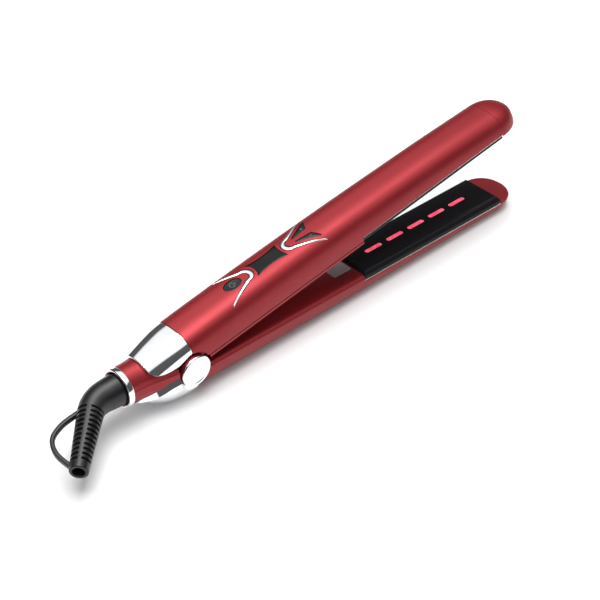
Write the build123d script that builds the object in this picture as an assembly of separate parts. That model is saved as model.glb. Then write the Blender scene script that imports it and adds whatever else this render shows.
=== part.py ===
from build123d import *
import math
import os

# Hair straightener, lying on its lower arm with the sprung upper arm open.
# Millimetres. Every piece is drawn in the "arm frame": the hinge axis runs along Y through the
# origin, X runs along the arms to the tips, and z = 0 is the plane in which the hot plates meet.
# Both arms are drawn as arches that rise from z = 0. The lower arm is that arch turned upside down,
# the upper arm is swung open about the hinge, and the whole is then set down on the floor.

# ---------------------------------------------------------------- driving dimensions
OPEN_ANGLE = 9.7            # how far the spring holds the arms apart, degrees
WALL = 1.8                  # casing wall
REACH = 30.0                # further out than any arm, for cuts that go right through
ROUND_TIP_X = 222.0         # where the plan of both arms starts to close
UPPER_TIP_X = 240.0         # hinge axis to the very tips
LOWER_TIP_X = 237.5
TIP_POWER = 2.4             # superellipse power of the tip in plan
TIP_FACE_Z = 3.6            # inner face of the tips, below the meeting plane
TIP_CAP_X = 223.8           # where the heat-proof tip starts
SEAM_Z = 2.6                # seam between the outer and inner casing halves
PLATE_SEAM_Z = 4.95         # the same seam beside the hot plate
FACE_Z = 1.1                # inner face of each arm, below the meeting plane
INNER_X0 = 10.2             # the inner casing starts in front of the hinge
PLATE_X0 = 116.4            # rear end of the plate bay
PLATE_FLAT = 9.4            # half width of the flat top of a hot plate
PLATE_TOP_Z = 0.15          # its face, just clear of the meeting plane
PLATE_SIDE = 13.7           # its half width over the shoulders
PLATE_LOW_Z = 3.75          # the lower edge of its shoulders
PLATE_WEB_Z = 2.4           # underside of its face, where heaters and springs bear
TRAY_FLOOR_Z = 6.5          # floor of the tray below it, where the plate springs stand
HEATER_X = (136, 206)       # ceramic heater strips under each plate
EAR_R = 8.2                 # hinge ears of the lower casing
EAR_Y0 = 11.0
EAR_Y1 = 14.05
PIN_R = 2.0
RUNNING_GAP = 0.05          # radial clearance on the hinge pin
KNUCKLE_R = 7.0
KNUCKLE_Y = 10.6
RELIEF_R = 9.7              # clearance in the upper arm round the hinge ears
DISC_R = 8.65               # chrome hinge discs
TAIL_R = 10.2               # round tail behind the hinge
TAIL_X = -34.0
RING_WIDTH = 3.2            # bright ring at the end of the tail
LIP_R = 9.15                # dark lip just inside the ring
LIP_BORE_R = 8.8
CAP_X1 = 1.2                # front edge of the chrome rear cap
REST_REAR = (-6.0, -19.2)   # floor line in the arm frame: under the chrome heel ...
REST_FRONT = (205.0, -12.5)  # ... and under the belly of the lower arm
ORIGIN_X = 150.0            # the row's origin sits on the floor under this point of the arm

REST_TILT = math.degrees(math.atan2(REST_FRONT[1] - REST_REAR[1], REST_FRONT[0] - REST_REAR[0]))
SLOPE = math.tan(math.radians(REST_TILT))
HINGE_HEIGHT = -(REST_REAR[1] - SLOPE * REST_REAR[0]) * math.cos(math.radians(REST_TILT))
ORIGIN_SHIFT = ORIGIN_X * math.cos(math.radians(REST_TILT))

IN_LOWER = Pos(-ORIGIN_SHIFT, 0, HINGE_HEIGHT) * Rot(0, REST_TILT, 0)
IN_UPPER = IN_LOWER * Rot(0, -OPEN_ANGLE, 0)

# Stations of the arches: x, half width, height, power of the superellipse.
UPPER_STATIONS = [
    (-26.0, 12.2, 14.8, 2.3),
    (-20.0, 13.0, 16.2, 2.4),
    (-12.0, 13.8, 17.5, 2.7),
    (-4.0, 14.2, 18.1, 3.1),
    (6.0, 14.3, 18.4, 3.2),
    (45.0, 14.35, 19.0, 3.2),
    (75.0, 14.35, 19.1, 3.2),
    (110.0, 14.35, 18.7, 3.2),
    (150.0, 14.35, 17.9, 3.1),
    (185.0, 14.35, 17.0, 3.0),
    (210.0, 14.35, 15.9, 2.9),
    (222.0, 14.35, 15.2, 2.9),
]
LOWER_STATIONS = [
    (-9.0, 13.7, 15.3, 2.7),
    (2.0, 14.2, 16.2, 3.0),
    (20.0, 14.3, 16.4, 3.0),
    (60.0, 14.3, 16.1, 3.0),
    (105.0, 14.3, 15.85, 3.0),
    (140.0, 14.3, 14.8, 3.0),
    (180.0, 14.3, 13.55, 3.0),
    (210.0, 14.3, 12.8, 3.0),
    (222.0, 14.3, 12.5, 3.0),
]
# Each arm's stations, tip and how far the tip sinks.
UPPER_ARM = (UPPER_STATIONS, UPPER_TIP_X, 0.5)
LOWER_ARM = (LOWER_STATIONS, LOWER_TIP_X, 0.33)
# Tail and hinge housing: x, half width, depth below, its power, height above, its power.
TAIL_STATIONS = [
    (TAIL_X, TAIL_R, TAIL_R, 2.0, TAIL_R, 2.0),
    (-27.0, 10.3, 10.4, 2.0, 10.2, 2.0),
    (-21.0, 11.3, 11.9, 2.2, 10.2, 2.0),
    (-14.5, 12.7, 13.8, 2.45, 10.0, 2.1),
    (-9.0, 13.7, 15.3, 2.7, 9.6, 2.2),
]
# Chrome heel under the hinge: x, half width, depth, power.
HEEL_STATIONS = [
    (-31.0, 10.35, 10.6, 2.0),
    (-26.0, 11.3, 13.5, 2.1),
    (-19.5, 12.6, 16.6, 2.3),
    (-12.5, 13.8, 18.6, 2.5),
    (-5.0, 14.35, 19.45, 2.6),
    (2.5, 14.5, 19.3, 2.7),
]

POWER_X = 40.4              # power button, oval
POWER_HALF = (5.2, 3.3)
WINDOW_X = (53.2, 73.4)     # hourglass display window between the two chevrons
WINDOW_HALF = (5.15, 3.9)   # half width at its ends and at its waist
REAR_V_APEX = 53.4
FRONT_V_APEX = 74.2
BLADE = [(80.4, 0.9), (95.3, 7.6), (92.2, 2.1)]
BLADE_SWITCH = (89.3, 3.7)  # where each key presses on its switch
BOARD_TOP_Z = 13.2          # control board under the buttons
SWITCH_TOP_Z = 14.1
PLUNGER_Z = 14.6            # lower end of a button's stem
BUTTON_SEAT_Z = 15.2
SLOT_X0 = 136.3             # five glowing slots down the middle of the lower plate
SLOT_PITCH = 16.24
SLOT_SIZE = (12.0, 2.6)
SPRING_X = 24.0             # main spring between the arms
SPRING_SEAT_Z = 6.5         # the floors of the two cups it stands in
SCREW_XS = (119.9, 220.1)   # screws that hold a tray under its plate
PLATE_SPRING_XS = (128.0, 212.0)
LABEL_X = (103.2, 115.4)
LABEL_HALF = 4.75
LABEL_BED = 0.35            # depth of the bed that the blank plate lies in
VENT_X = 59.0               # ring of six small vents
VENT_RING_R = 3.8
VENT_R = 0.65

BOOT_CORNER = Vector(-51.7, 0, 0)
BOOT_END = Vector(-82.2, -28.8, -5.7)
BOOT_BEND_R = 18.0
SOCKET_R = 3.1
SOCKET_DEPTH = 12.0
BOOT_SLOTS = 12             # flex slots in each of the boot's four rows
BOOT_SLOT_PITCH = 2.75
BOOT_SLOT_WIDTH = 1.25
BOOT_SLOT_DEPTH = 1.3


# ---------------------------------------------------------------- helpers
def arch_points(x, half_width, height, power, steps=14):
    """Points of a superellipse arch across the arm, from +Y over the top to -Y."""
    points = []
    for i in range(steps + 1):
        angle = math.pi * i / steps
        c, s = math.cos(angle), max(math.sin(angle), 0.0)
        y = math.copysign(abs(c) ** (2 / power), c) * half_width
        points.append(Vector(x, y, s ** (2 / power) * height))
    points[0] = Vector(x, half_width, 0)
    points[-1] = Vector(x, -half_width, 0)
    return points


def arch_edge(x, half_width, height, power):
    up = Vector(0, 0, math.copysign(1, height))
    return Spline(arch_points(x, half_width, height, power), tangents=[up, -up])


def arch_section(x, half_width, height, power):
    arch = arch_edge(x, half_width, height, power)
    return Wire([arch, Line(arch @ 1, arch @ 0)])


def tip_stations(last, tip_x, sink, count=7):
    """The rounded tip: the plan closes as a superellipse while the arch sinks."""
    _, half_width, height, power = last
    stations = []
    for i in range(1, count + 1):
        angle = math.radians(84.5) * i / count
        share = math.sin(angle)
        shrink = (1 - share ** TIP_POWER) ** (1 / TIP_POWER)
        low = height * (1 - sink * (1 - math.cos(angle)))
        x = ROUND_TIP_X + (tip_x - ROUND_TIP_X) * share
        stations.append((x, half_width * shrink, low, power - 0.4 * (1 - shrink)))
    return stations


def spread(stations, longest=20.0):
    """Add stations in straight proportion, so that no two are further apart than this."""
    result = [stations[0]]
    for before, after in zip(stations, stations[1:]):
        count = math.ceil((after[0] - before[0]) / longest)
        for i in range(1, count + 1):
            share = i / count
            result.append(tuple(a + (b - a) * share for a, b in zip(before, after)))
    return result


def arm_form(arm, inset=0.0):
    stations, tip_x, sink = arm
    full = spread(stations) + tip_stations(stations[-1], tip_x, sink)
    wires = []
    for x, half_width, height, power in full:
        if half_width - inset > 1.0:
            wires.append(arch_section(x, half_width - inset, height - inset, power))
    return Solid.make_loft(wires)


def block(x0, x1, y0, y1, z0, z1):
    return Pos((x0 + x1) / 2, (y0 + y1) / 2, (z0 + z1) / 2) * Box(x1 - x0, y1 - y0, z1 - z0)


def both_sides(x0, x1, y0, y1, z0, z1):
    return block(x0, x1, y0, y1, z0, z1) + block(x0, x1, -y1, -y0, z0, z1)


def across(radius, y0, y1, x=0.0, z=0.0):
    """Cylinder along Y."""
    return Pos(x, (y0 + y1) / 2, z) * Rot(90, 0, 0) * Cylinder(radius, y1 - y0)


def upright(radius, x, y, z0, z1):
    return Pos(x, y, (z0 + z1) / 2) * Cylinder(radius, z1 - z0)


def along(radius, x0, x1, y=0.0, z=0.0):
    return Pos((x0 + x1) / 2, y, z) * Rot(0, 90, 0) * Cylinder(radius, x1 - x0)


def plan_prism(face, z0, z1):
    """Raise a face drawn on the XY plane from z0 to z1."""
    return extrude(Pos(0, 0, z0) * face, z1 - z0, dir=(0, 0, 1))


def side_prism(points, half=40.0):
    """Polygon in the XZ plane, extruded to both sides."""
    wire = Polyline([Vector(x, 0, z) for x, z in points], close=True)
    return extrude(Face(Wire(wire.edges())), half, dir=(0, 1, 0), both=True)


def turned_down(shape):
    """The lower arm's version of a piece that was drawn as an upward arch."""
    return mirror(shape, about=Plane.XY)


def main_solid(shape):
    return max(shape.solids(), key=lambda solid: solid.volume)


parts = {}


def keep(name, shape, location, count=1):
    solids = sorted(shape.solids(), key=lambda solid: -solid.volume)[:count]
    placed = [location * solid for solid in solids]
    parts[name] = placed[0] if count == 1 else Compound(children=placed)


# ---------------------------------------------------------------- shared arm forms
upper_form = arm_form(UPPER_ARM)
upper_hollow = arm_form(UPPER_ARM, WALL)
lower_form = arm_form(LOWER_ARM)
lower_hollow = arm_form(LOWER_ARM, WALL)
upper_lining = arm_form(UPPER_ARM, WALL + 0.1)
lower_lining = arm_form(LOWER_ARM, WALL + 0.1)
ear_relief = across(RELIEF_R, KNUCKLE_Y - 0.2, REACH) + across(RELIEF_R, -REACH, -(KNUCKLE_Y - 0.2))


def casing(form, hollow, x0, front_boss):
    """Outer casing of an arm from x0 to the tip joint, with its two plate-screw bosses."""
    shell = form - hollow
    shell &= block(x0, TIP_CAP_X - 0.1, -REACH, REACH, SEAM_Z, 40)
    shell -= block(PLATE_X0 - 0.1, TIP_CAP_X, -REACH, REACH, 0, PLATE_SEAM_Z)
    for x in SCREW_XS:
        boss = upright(2.7, x, 0, 8.0, front_boss) & form
        shell += boss - upright(1.1, x, 0, 0, 10.2)
    return shell


def tip_cap(form, hollow, tip_x):
    cap = form & block(TIP_CAP_X, tip_x + 5, -REACH, REACH, TIP_FACE_Z, 40)
    return cap - (hollow & block(TIP_CAP_X - 1, tip_x - 3.6, -REACH, REACH, TIP_FACE_Z + WALL, 40))


def inner_casing(form):
    """The tray that closes an arm's inner side, behind the hot plate."""
    tray = form & block(INNER_X0, PLATE_X0 - 0.1, -REACH, REACH, FACE_Z, SEAM_Z - 0.05)
    tray += both_sides(22, PLATE_X0 - 4, 10.6, 12.0, SEAM_Z - 0.1, 5.4)
    cup = upright(4.8, SPRING_X, 0, FACE_Z, 7.3)
    tray += cup
    tray -= upright(3.9, SPRING_X, 0, 0, SPRING_SEAT_Z)
    return tray


def plate_section():
    """Half-round shouldered aluminium plate: flat top, shoulders rolled down to the bezel."""
    top, side, low = PLATE_TOP_Z, PLATE_SIDE, PLATE_LOW_Z
    right = Spline([(PLATE_FLAT, top), (12.1, 0.85), (13.4, 2.2), (side, low)],
                   tangents=[(1, 0), (0, 1)])
    left = Spline([(-side, low), (-13.4, 2.2), (-12.1, 0.85), (-PLATE_FLAT, top)],
                  tangents=[(0, -1), (1, 0)])
    wire = Wire([right, Line((side, low), (-side, low)), left,
                 Line((-PLATE_FLAT, top), (PLATE_FLAT, top))])
    return Face(wire)


def heating_plate(slots):
    face = Plane(origin=(PLATE_X0 + 0.6, 0, 0), x_dir=(0, 1, 0), z_dir=(1, 0, 0)) * plate_section()
    plate = extrude(face, TIP_CAP_X - PLATE_X0 - 1.3)
    plate -= block(PLATE_X0 + 2.2, TIP_CAP_X - 2.2, -12.0, 12.0, PLATE_WEB_Z, 10)
    for end, inwards in ((PLATE_X0 + 0.6, 1), (TIP_CAP_X - 0.7, -1)):
        bevel = [(end - inwards, -1), (end + 2.3 * inwards, -1), (end + 1.5 * inwards, PLATE_TOP_Z),
                 (end, 2.0), (end - inwards, 3.4)]
        plate -= side_prism(bevel)
    for x, y in slots:
        plate -= plan_prism(Pos(x, y) * SlotOverall(*SLOT_SIZE), -1, 5)
    return plate


def carrier(form_inside):
    """Black tray under the hot plate, shaped to the inside of the casing."""
    base = block(PLATE_X0, TIP_CAP_X - 0.2, -12.35, 12.35, 4.3, 7.9) & form_inside
    base += both_sides(PLATE_X0 + 3.0, TIP_CAP_X - 3.0, 9.8, 11.4, 3.1, 4.4)
    base -= block(PLATE_X0 + 1.4, TIP_CAP_X - 1.6, -9.8, 9.8, 3.0, TRAY_FLOOR_Z)
    for x in SCREW_XS:
        base -= upright(1.3, x, 0, 0, 20)
    return base


def bezel():
    """Thin bright line between the black plate bay and the red casing, both sides."""
    return both_sides(PLATE_X0, TIP_CAP_X - 0.2, 12.5, 13.75, 4.4, 4.9)


def coil(radius, wire_radius, start, end, turns):
    """Open-ended helical spring from start to end."""
    length = (end - start).length - 2 * wire_radius
    axis = (end - start).normalized()
    path = Helix(pitch=length / turns, height=length, radius=radius)
    profile = Plane(origin=path @ 0, z_dir=path % 0) * Circle(wire_radius)
    spring = sweep(profile, path=path, is_frenet=True)
    frame = Plane(origin=start + axis * wire_radius, z_dir=axis)
    return frame * spring


def plate_springs():
    pair = None
    for x in PLATE_SPRING_XS:
        spring = coil(1.6, 0.25, Vector(x, 0, TRAY_FLOOR_Z), Vector(x, 0, PLATE_WEB_Z), 4)
        pair = spring if pair is None else pair + spring
    return pair


def ceramic_heaters():
    return both_sides(*HEATER_X, 3.2, 9.2, PLATE_WEB_Z, 3.9)


def screw(x, head_z, shank_end):
    head = upright(2.0, x, 0, head_z - 1.3, head_z)
    recess = upright(0.8, x, 0, head_z - 1.4, head_z - 0.6)
    return head + upright(1.1, x, 0, head_z, shank_end) - recess


def screws():
    return screw(SCREW_XS[0], TRAY_FLOOR_Z, 9.4) + screw(SCREW_XS[1], TRAY_FLOOR_Z, 9.4)


def lead_wires(z_rear, z_front, x0, x1):
    pair = None
    for side in (-1, 1):
        y0, y1 = 1.6 * side, 8.2 * side
        route = FilletPolyline(
            Vector(x0, y0, z_rear),
            Vector(x0 + 30, y0, z_rear),
            Vector(x1 - 26, y1, z_front),
            Vector(x1, y1, z_front),
            radius=14,
        )
        profile = Plane(origin=route @ 0, z_dir=route % 0) * Circle(0.75)
        wire = sweep(profile, path=route)
        pair = wire if pair is None else pair + wire
    return pair


# ---------------------------------------------------------------- lower arm
lower_shell = casing(lower_form, lower_hollow, -8.8, 13.0)
ears = across(EAR_R, EAR_Y0, EAR_Y1) + across(EAR_R, -EAR_Y1, -EAR_Y0)
lower_shell = lower_shell - (across(RELIEF_R, -EAR_Y0, EAR_Y0) & block(-9, 9, -11, 11, 0, 7.6))
lower_shell = lower_shell + ears - across(PIN_R, -REACH, REACH)
lower_shell = turned_down(main_solid(lower_shell))
floor_cut = side_prism([(-80, REST_REAR[1] + SLOPE * (-80 - REST_REAR[0])),
                        (260, REST_REAR[1] + SLOPE * (260 - REST_REAR[0])),
                        (260, -60), (-80, -60)])
lower_shell = lower_shell - floor_cut
keep("lower_outer_shell", lower_shell, IN_LOWER)
keep("lower_tip_cap", turned_down(tip_cap(lower_form, lower_hollow, LOWER_TIP_X)) - floor_cut, IN_LOWER)

lower_tray = turned_down(inner_casing(lower_form))
lower_tray -= block(LABEL_X[0] - 0.1, LABEL_X[1] + 0.1, -LABEL_HALF - 0.1, LABEL_HALF + 0.1,
                    -FACE_Z - LABEL_BED, 0)
for step in range(6):
    around = math.radians(60 * step + 30)
    dimple_x = VENT_X + VENT_RING_R * math.cos(around)
    dimple_y = VENT_RING_R * math.sin(around)
    lower_tray -= upright(VENT_R, dimple_x, dimple_y, -FACE_Z - 0.8, 0)
keep("lower_inner_shell", lower_tray, IN_LOWER)
keep("blank_rating_plate",
     block(*LABEL_X, -LABEL_HALF, LABEL_HALF, -FACE_Z - LABEL_BED, -FACE_Z + 0.05), IN_LOWER)

keep("lower_plate_carrier", turned_down(carrier(lower_lining)), IN_LOWER)
keep("lower_plate_bezel", turned_down(bezel()), IN_LOWER, 2)
keep("lower_plate_springs", turned_down(plate_springs()), IN_LOWER, 2)
keep("lower_carrier_screws", turned_down(screws()), IN_LOWER, 2)
keep("lower_heater_leads", turned_down(lead_wires(9.0, 9.6, 14, 114)), IN_LOWER, 2)

slot_spots = [(SLOT_X0 + SLOT_PITCH * i, 0.0) for i in range(5)]
lower_plate = turned_down(heating_plate(slot_spots))
keep("lower_heating_plate", lower_plate, IN_LOWER)
keep("lower_ceramic_heaters", turned_down(ceramic_heaters()), IN_LOWER, 2)
lenses = None
for slot_x, slot_y in slot_spots:
    lens = plan_prism(Pos(slot_x, slot_y) * SlotOverall(*SLOT_SIZE), 0.3, 2.9)
    lenses = lens if lenses is None else lenses + lens
keep("glow_lenses", turned_down(lenses), IN_LOWER, 5)
keep("glow_lamp_board", turned_down(block(132, 206, -2.4, 2.4, 5.3, TRAY_FLOOR_Z)), IN_LOWER)
keep("lower_thermal_fuse", turned_down(along(0.95, 121, 126.0, 7.0, 3.35)), IN_LOWER)

# ---------------------------------------------------------------- tail, ring and chrome heel


def tail_section(station, inset=0.0):
    x, half_width, depth, low_power, height, high_power = station
    above = arch_edge(x, half_width - inset, height - inset, high_power)
    below = arch_edge(x, half_width - inset, -(depth - inset), low_power)
    return Wire([above, below])


tail = Solid.make_loft([tail_section(s) for s in TAIL_STATIONS])
tail -= Solid.make_loft([tail_section(s, 1.6) for s in TAIL_STATIONS])
lip_x = TAIL_X - RING_WIDTH
tail += along(LIP_R, lip_x + 0.8, TAIL_X + 0.4) - along(LIP_BORE_R, lip_x, TAIL_X + 2)
tail -= side_prism([(-22.5, 14), (-20.5, 6.0), (-18.0, 4.9), (-5, 4.9), (-5, 14)]) - along(
    TAIL_R, -24, 0)
keep("tail_housing", tail, IN_LOWER)

ring = along(TAIL_R + 0.25, lip_x, TAIL_X) - along(9.2, lip_x - 1, TAIL_X + 1)
ring = fillet(ring.edges().filter_by(GeomType.CIRCLE).sort_by(SortBy.RADIUS)[-2:], 0.4)
keep("tail_ring", ring, IN_LOWER)
keep("swivel_retainer", along(8.3, -33.2, -31.7) - along(6.3, -35, -30), IN_LOWER)

heel = Solid.make_loft([arch_section(*s) for s in HEEL_STATIONS])
tail_core = Solid.make_loft([arch_section(s[0], s[1], s[2], s[3]) for s in TAIL_STATIONS])
heel = heel - tail_core - lower_form
heel = turned_down(heel) - floor_cut
heel_top = side_prism([(-33, -8.2), (-30, -7.0), (-25.5, -5.6), (-20, -3.4), (-14.5, -1.0),
                       (-10.5, -0.4), (-7.5, -0.4), (6, -0.4), (6, 20), (-33, 20)])
heel = heel - heel_top - across(8.95, -REACH, REACH)
keep("chrome_heel_trim", heel, IN_LOWER)

# ---------------------------------------------------------------- hinge
keep("hinge_pin", across(PIN_R, -15.0, 15.0), IN_LOWER)


def hinge_disc(side):
    """Chrome disc with a raised rim and a dished middle."""
    outline = Polyline([(0, 14.35), (DISC_R - 0.3, 14.35), (DISC_R, 14.65), (DISC_R, 15.6),
                        (DISC_R - 0.5, 15.95), (DISC_R - 1.3, 15.95), (DISC_R - 2.0, 15.55),
                        (4.0, 15.35), (0, 15.3)], close=True)
    face = Face(Wire(outline.edges()))
    disc = revolve(face, axis=Axis.Y)
    disc -= across(PIN_R, 10, 15.0)
    return disc if side > 0 else mirror(disc, about=Plane.XZ)


keep("hinge_disc_near", hinge_disc(-1), IN_LOWER)
keep("hinge_disc_far", hinge_disc(1), IN_LOWER)

spring_foot = Vector(SPRING_X, 0, -SPRING_SEAT_Z)
spring_head = Vector(SPRING_X, 0, SPRING_SEAT_Z).rotate(Axis.Y, -OPEN_ANGLE)
keep("hinge_spring", coil(2.5, 0.4, spring_foot, spring_head, 6), IN_LOWER)

# ---------------------------------------------------------------- upper arm
keep("upper_tip_cap", tip_cap(upper_form, upper_hollow, UPPER_TIP_X), IN_UPPER)

upper_tray = inner_casing(upper_form)
upper_tray += block(-2, 15, -KNUCKLE_Y + 0.4, KNUCKLE_Y - 0.4, FACE_Z, 6.2) + across(
    KNUCKLE_R, -KNUCKLE_Y, KNUCKLE_Y)
upper_tray -= ear_relief
upper_tray -= across(PIN_R + RUNNING_GAP, -REACH, REACH)
for post_x in (35.5, 95.0):
    upper_tray += both_sides(post_x - 1, post_x + 1, 3.2, 6.4, SEAM_Z - 0.5, 12.0)
keep("upper_inner_shell", upper_tray, IN_UPPER)
washer = across(4.6, KNUCKLE_Y + 0.04, EAR_Y0 - 0.04) - across(PIN_R + 0.1, 0, 30)
keep("hinge_washers", washer + mirror(washer, about=Plane.XZ), IN_UPPER, 2)

upper_shell = casing(upper_form, upper_hollow, CAP_X1 + 0.1, 15.8) - ear_relief

# Rear cap: its lower edge sweeps down from the tail and curls round the hinge disc.
cap_form = upper_form & block(-40, CAP_X1, -REACH, REACH, 0, 40)
cap_hollow = arm_form(UPPER_ARM, 1.2)
cap = cap_form - cap_hollow - ear_relief
below_edge = [(-60, 30), (-25.6, 30), (-25.3, 11.0), (-24.8, 9.3), (-23.6, 7.4), (-21.8, 6.1),
              (-19.0, 5.5), (-15.0, 5.6), (-11.0, 6.2), (-8.0, 6.8), (-4.0, 8.0), (20, 8.0),
              (20, -30), (-60, -30)]
closing = Rot(0, OPEN_ANGLE, 0)
cap = cap - closing * side_prism(below_edge)
cap = cap - closing * along(TAIL_R + 0.6, -40, -6)
keep("chrome_rear_cap", cap, IN_UPPER)


def chevron(apex, sign):
    """A rounded V on the top of the arm, thick at its apex and thin at its ends."""
    outer = [(apex - sign * 21.6, 10.5), (apex - sign * 4.4, 4.4), (apex, 0)]
    inner = [(apex - sign * 20.8, 9.7), (apex - sign * 5.6, 3.1), (apex - sign * 2.3, 0)]
    o_top, o_knee, o_apex = [Vector(x, y, 0) for x, y in outer]
    i_top, i_knee, i_apex = [Vector(x, y, 0) for x, y in inner]

    def flip(v):
        return Vector(v.X, -v.Y, 0)

    edges = [
        Line(o_top, o_knee),
        ThreePointArc(o_knee, o_apex, flip(o_knee)),
        Line(flip(o_knee), flip(o_top)),
        Line(flip(o_top), flip(i_top)),
        Line(flip(i_top), flip(i_knee)),
        ThreePointArc(flip(i_knee), i_apex, i_knee),
        Line(i_knee, i_top),
        Line(i_top, o_top),
    ]
    return Face(Wire(edges))


def window_face(grow=0.0):
    """Hourglass: waisted sides, and ends hollowed to clear the two chevrons."""
    x0, x1 = WINDOW_X[0] - grow, WINDOW_X[1] + grow
    end, waist = WINDOW_HALF[0] + grow, WINDOW_HALF[1] + grow
    middle = (x0 + x1) / 2
    edges = [
        ThreePointArc((x0, end), (middle, waist), (x1, end)),
        ThreePointArc((x1, end), (x1 - 1.0, 0), (x1, -end)),
        ThreePointArc((x1, -end), (middle, -waist), (x0, -end)),
        ThreePointArc((x0, -end), (x0 + 1.9, 0), (x0, end)),
    ]
    return Face(Wire(edges))


def blade_face(side, grow=0.0):
    points = [Vector(x, side * y, 0) for x, y in BLADE]
    face = Face(Wire(Polyline(points, close=True).edges()))
    face = fillet(face.vertices(), 0.35)
    return offset(face, grow) if grow else face


raised_form = arm_form(UPPER_ARM, -0.3)
bed_form = arm_form(UPPER_ARM, 0.9)
rear_v = plan_prism(chevron(REAR_V_APEX, 1), 8, REACH)
front_v = plan_prism(chevron(FRONT_V_APEX, -1), 8, REACH)
upper_shell -= rear_v - bed_form
upper_shell -= front_v - bed_form
upper_shell -= plan_prism(window_face(0.05), 10, REACH)
power_face = Pos(POWER_X, 0) * Ellipse(*POWER_HALF)
power_hole = Pos(POWER_X, 0) * Ellipse(POWER_HALF[0] + 0.3, POWER_HALF[1] + 0.3)
upper_shell -= plan_prism(power_hole, 10, REACH)
for blade_side in (-1, 1):
    upper_shell -= plan_prism(blade_face(blade_side, 0.3), 10, REACH)
keep("upper_outer_shell", upper_shell, IN_UPPER)
keep("rear_chevron_trim", (rear_v & raised_form) - bed_form, IN_UPPER)
keep("front_chevron_trim", (front_v & raised_form) - bed_form, IN_UPPER)
keep("display_window", (plan_prism(window_face(), 10, REACH) & upper_form) - upper_hollow, IN_UPPER)

keep("control_board", block(33, 98, -7.8, 7.8, BOARD_TOP_Z - 1.2, BOARD_TOP_Z), IN_UPPER)
keep("display_module", block(54.5, 72.0, -4.6, 4.6, BOARD_TOP_Z, 15.9), IN_UPPER)
switches = block(POWER_X - 2, POWER_X + 2, -2, 2, BOARD_TOP_Z, SWITCH_TOP_Z)
for switch_side in (-1, 1):
    switch_y = switch_side * BLADE_SWITCH[1]
    switches += block(BLADE_SWITCH[0] - 1.8, BLADE_SWITCH[0] + 1.8,
                      switch_y - 1.6, switch_y + 1.6, BOARD_TOP_Z, SWITCH_TOP_Z)
keep("tact_switches", switches, IN_UPPER, 3)

keep("upper_plate_carrier", carrier(upper_lining), IN_UPPER)
keep("upper_plate_bezel", bezel(), IN_UPPER, 2)
keep("upper_plate_springs", plate_springs(), IN_UPPER, 2)
keep("upper_carrier_screws", screws(), IN_UPPER, 2)
keep("upper_heater_leads", lead_wires(9.0, 9.6, 16.5, 114), IN_UPPER, 2)
keep("upper_heating_plate", heating_plate([]), IN_UPPER)
keep("upper_ceramic_heaters", ceramic_heaters(), IN_UPPER, 2)
keep("upper_thermistor", along(0.8, 121, 125, 7.0, 3.2), IN_UPPER)

# ---------------------------------------------------------------- buttons


def button(face, stem_x, stem_y, flange):
    """Push button: its top follows the casing, its stem ends just above its switch."""
    cap_body = plan_prism(face, BUTTON_SEAT_Z, REACH) & arm_form(UPPER_ARM, -0.15)
    stem = upright(1.1, stem_x, stem_y, PLUNGER_Z, 16)
    return cap_body + plan_prism(flange, BUTTON_SEAT_Z, 15.9) + stem


power_flange = Pos(POWER_X, 0) * Ellipse(POWER_HALF[0] + 0.9, POWER_HALF[1] + 0.9)
keep("power_button", button(power_face, POWER_X, 0, power_flange), IN_UPPER)
for name, blade_side in (("plus_button", 1), ("minus_button", -1)):
    blade = blade_face(blade_side)
    stem_at = (BLADE_SWITCH[0], blade_side * BLADE_SWITCH[1])
    keep(name, button(blade, *stem_at, blade), IN_UPPER)

# ---------------------------------------------------------------- cord swivel
keep("swivel_spigot", along(6.0, -36.8, -29.3) + along(7.6, -31.2, -29.3), IN_LOWER)

boot_path = FilletPolyline(Vector(-36.8, 0, 0), BOOT_CORNER, BOOT_END, radius=BOOT_BEND_R)
boot_axis = (BOOT_END - BOOT_CORNER).normalized()


def boot_radius(share):
    """Radius along the boot, from the swivel (0) to the cord end (1)."""
    neck = 8.3 - 1.75 * min(share / 0.36, 1.0) ** 1.4
    return neck if share < 0.36 else 6.55 - 1.85 * (share - 0.36) / 0.64


rings = []
for i in range(15):
    share = i / 14
    ring_plane = Plane(origin=boot_path @ share, z_dir=boot_path % share)
    rings.append(Wire.make_circle(boot_radius(share), ring_plane))
boot = Solid.make_loft(rings)
boot_frame = Plane(origin=BOOT_END, x_dir=Vector(0, 0, 1).cross(boot_axis), z_dir=-boot_axis)
boot -= boot_frame * (Pos(0, 0, SOCKET_DEPTH / 2 - 0.5) * Cylinder(SOCKET_R, SOCKET_DEPTH + 1))
for i in range(BOOT_SLOTS):
    depth_along = 5.0 + BOOT_SLOT_PITCH * i
    local_r = boot_radius(1 - depth_along / boot_path.length)
    band = Cylinder(9, BOOT_SLOT_WIDTH) - Cylinder(local_r - BOOT_SLOT_DEPTH, 2)
    for corner in (45, 135, 225, 315):
        wedge = Rot(0, 0, corner) * Polygon((0, 0), (14, -9.5), (14, 9.5), align=None)
        cut = band & extrude(wedge, 1, both=True)
        boot -= boot_frame * (Pos(0, 0, depth_along) * cut)
keep("cord_boot", boot, IN_LOWER)

loop_out = Vector(0, 0, 1).cross(boot_axis).normalized() * -1


def loop_point(s, m):
    return BOOT_CORNER + boot_axis * s + loop_out * m


loop_path = FilletPolyline(
    loop_point(5.6, 4.6), loop_point(16.0, 12.8), loop_point(24.0, 15.2), loop_point(32.0, 12.2),
    loop_point(40.2, 3.2), radius=6.0)
strap = Plane(origin=loop_path @ 0, x_dir=boot_axis.cross(loop_out), z_dir=loop_path % 0)
hang_loop = sweep(strap * Rectangle(3.2, 1.6), path=loop_path)
keep("hang_loop", hang_loop - boot, IN_LOWER)

# ---------------------------------------------------------------- write
os.makedirs("parts", exist_ok=True)
for name, shape in parts.items():
    export_step(shape, f"parts/{name}.step")
print(len(parts), "parts")
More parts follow.
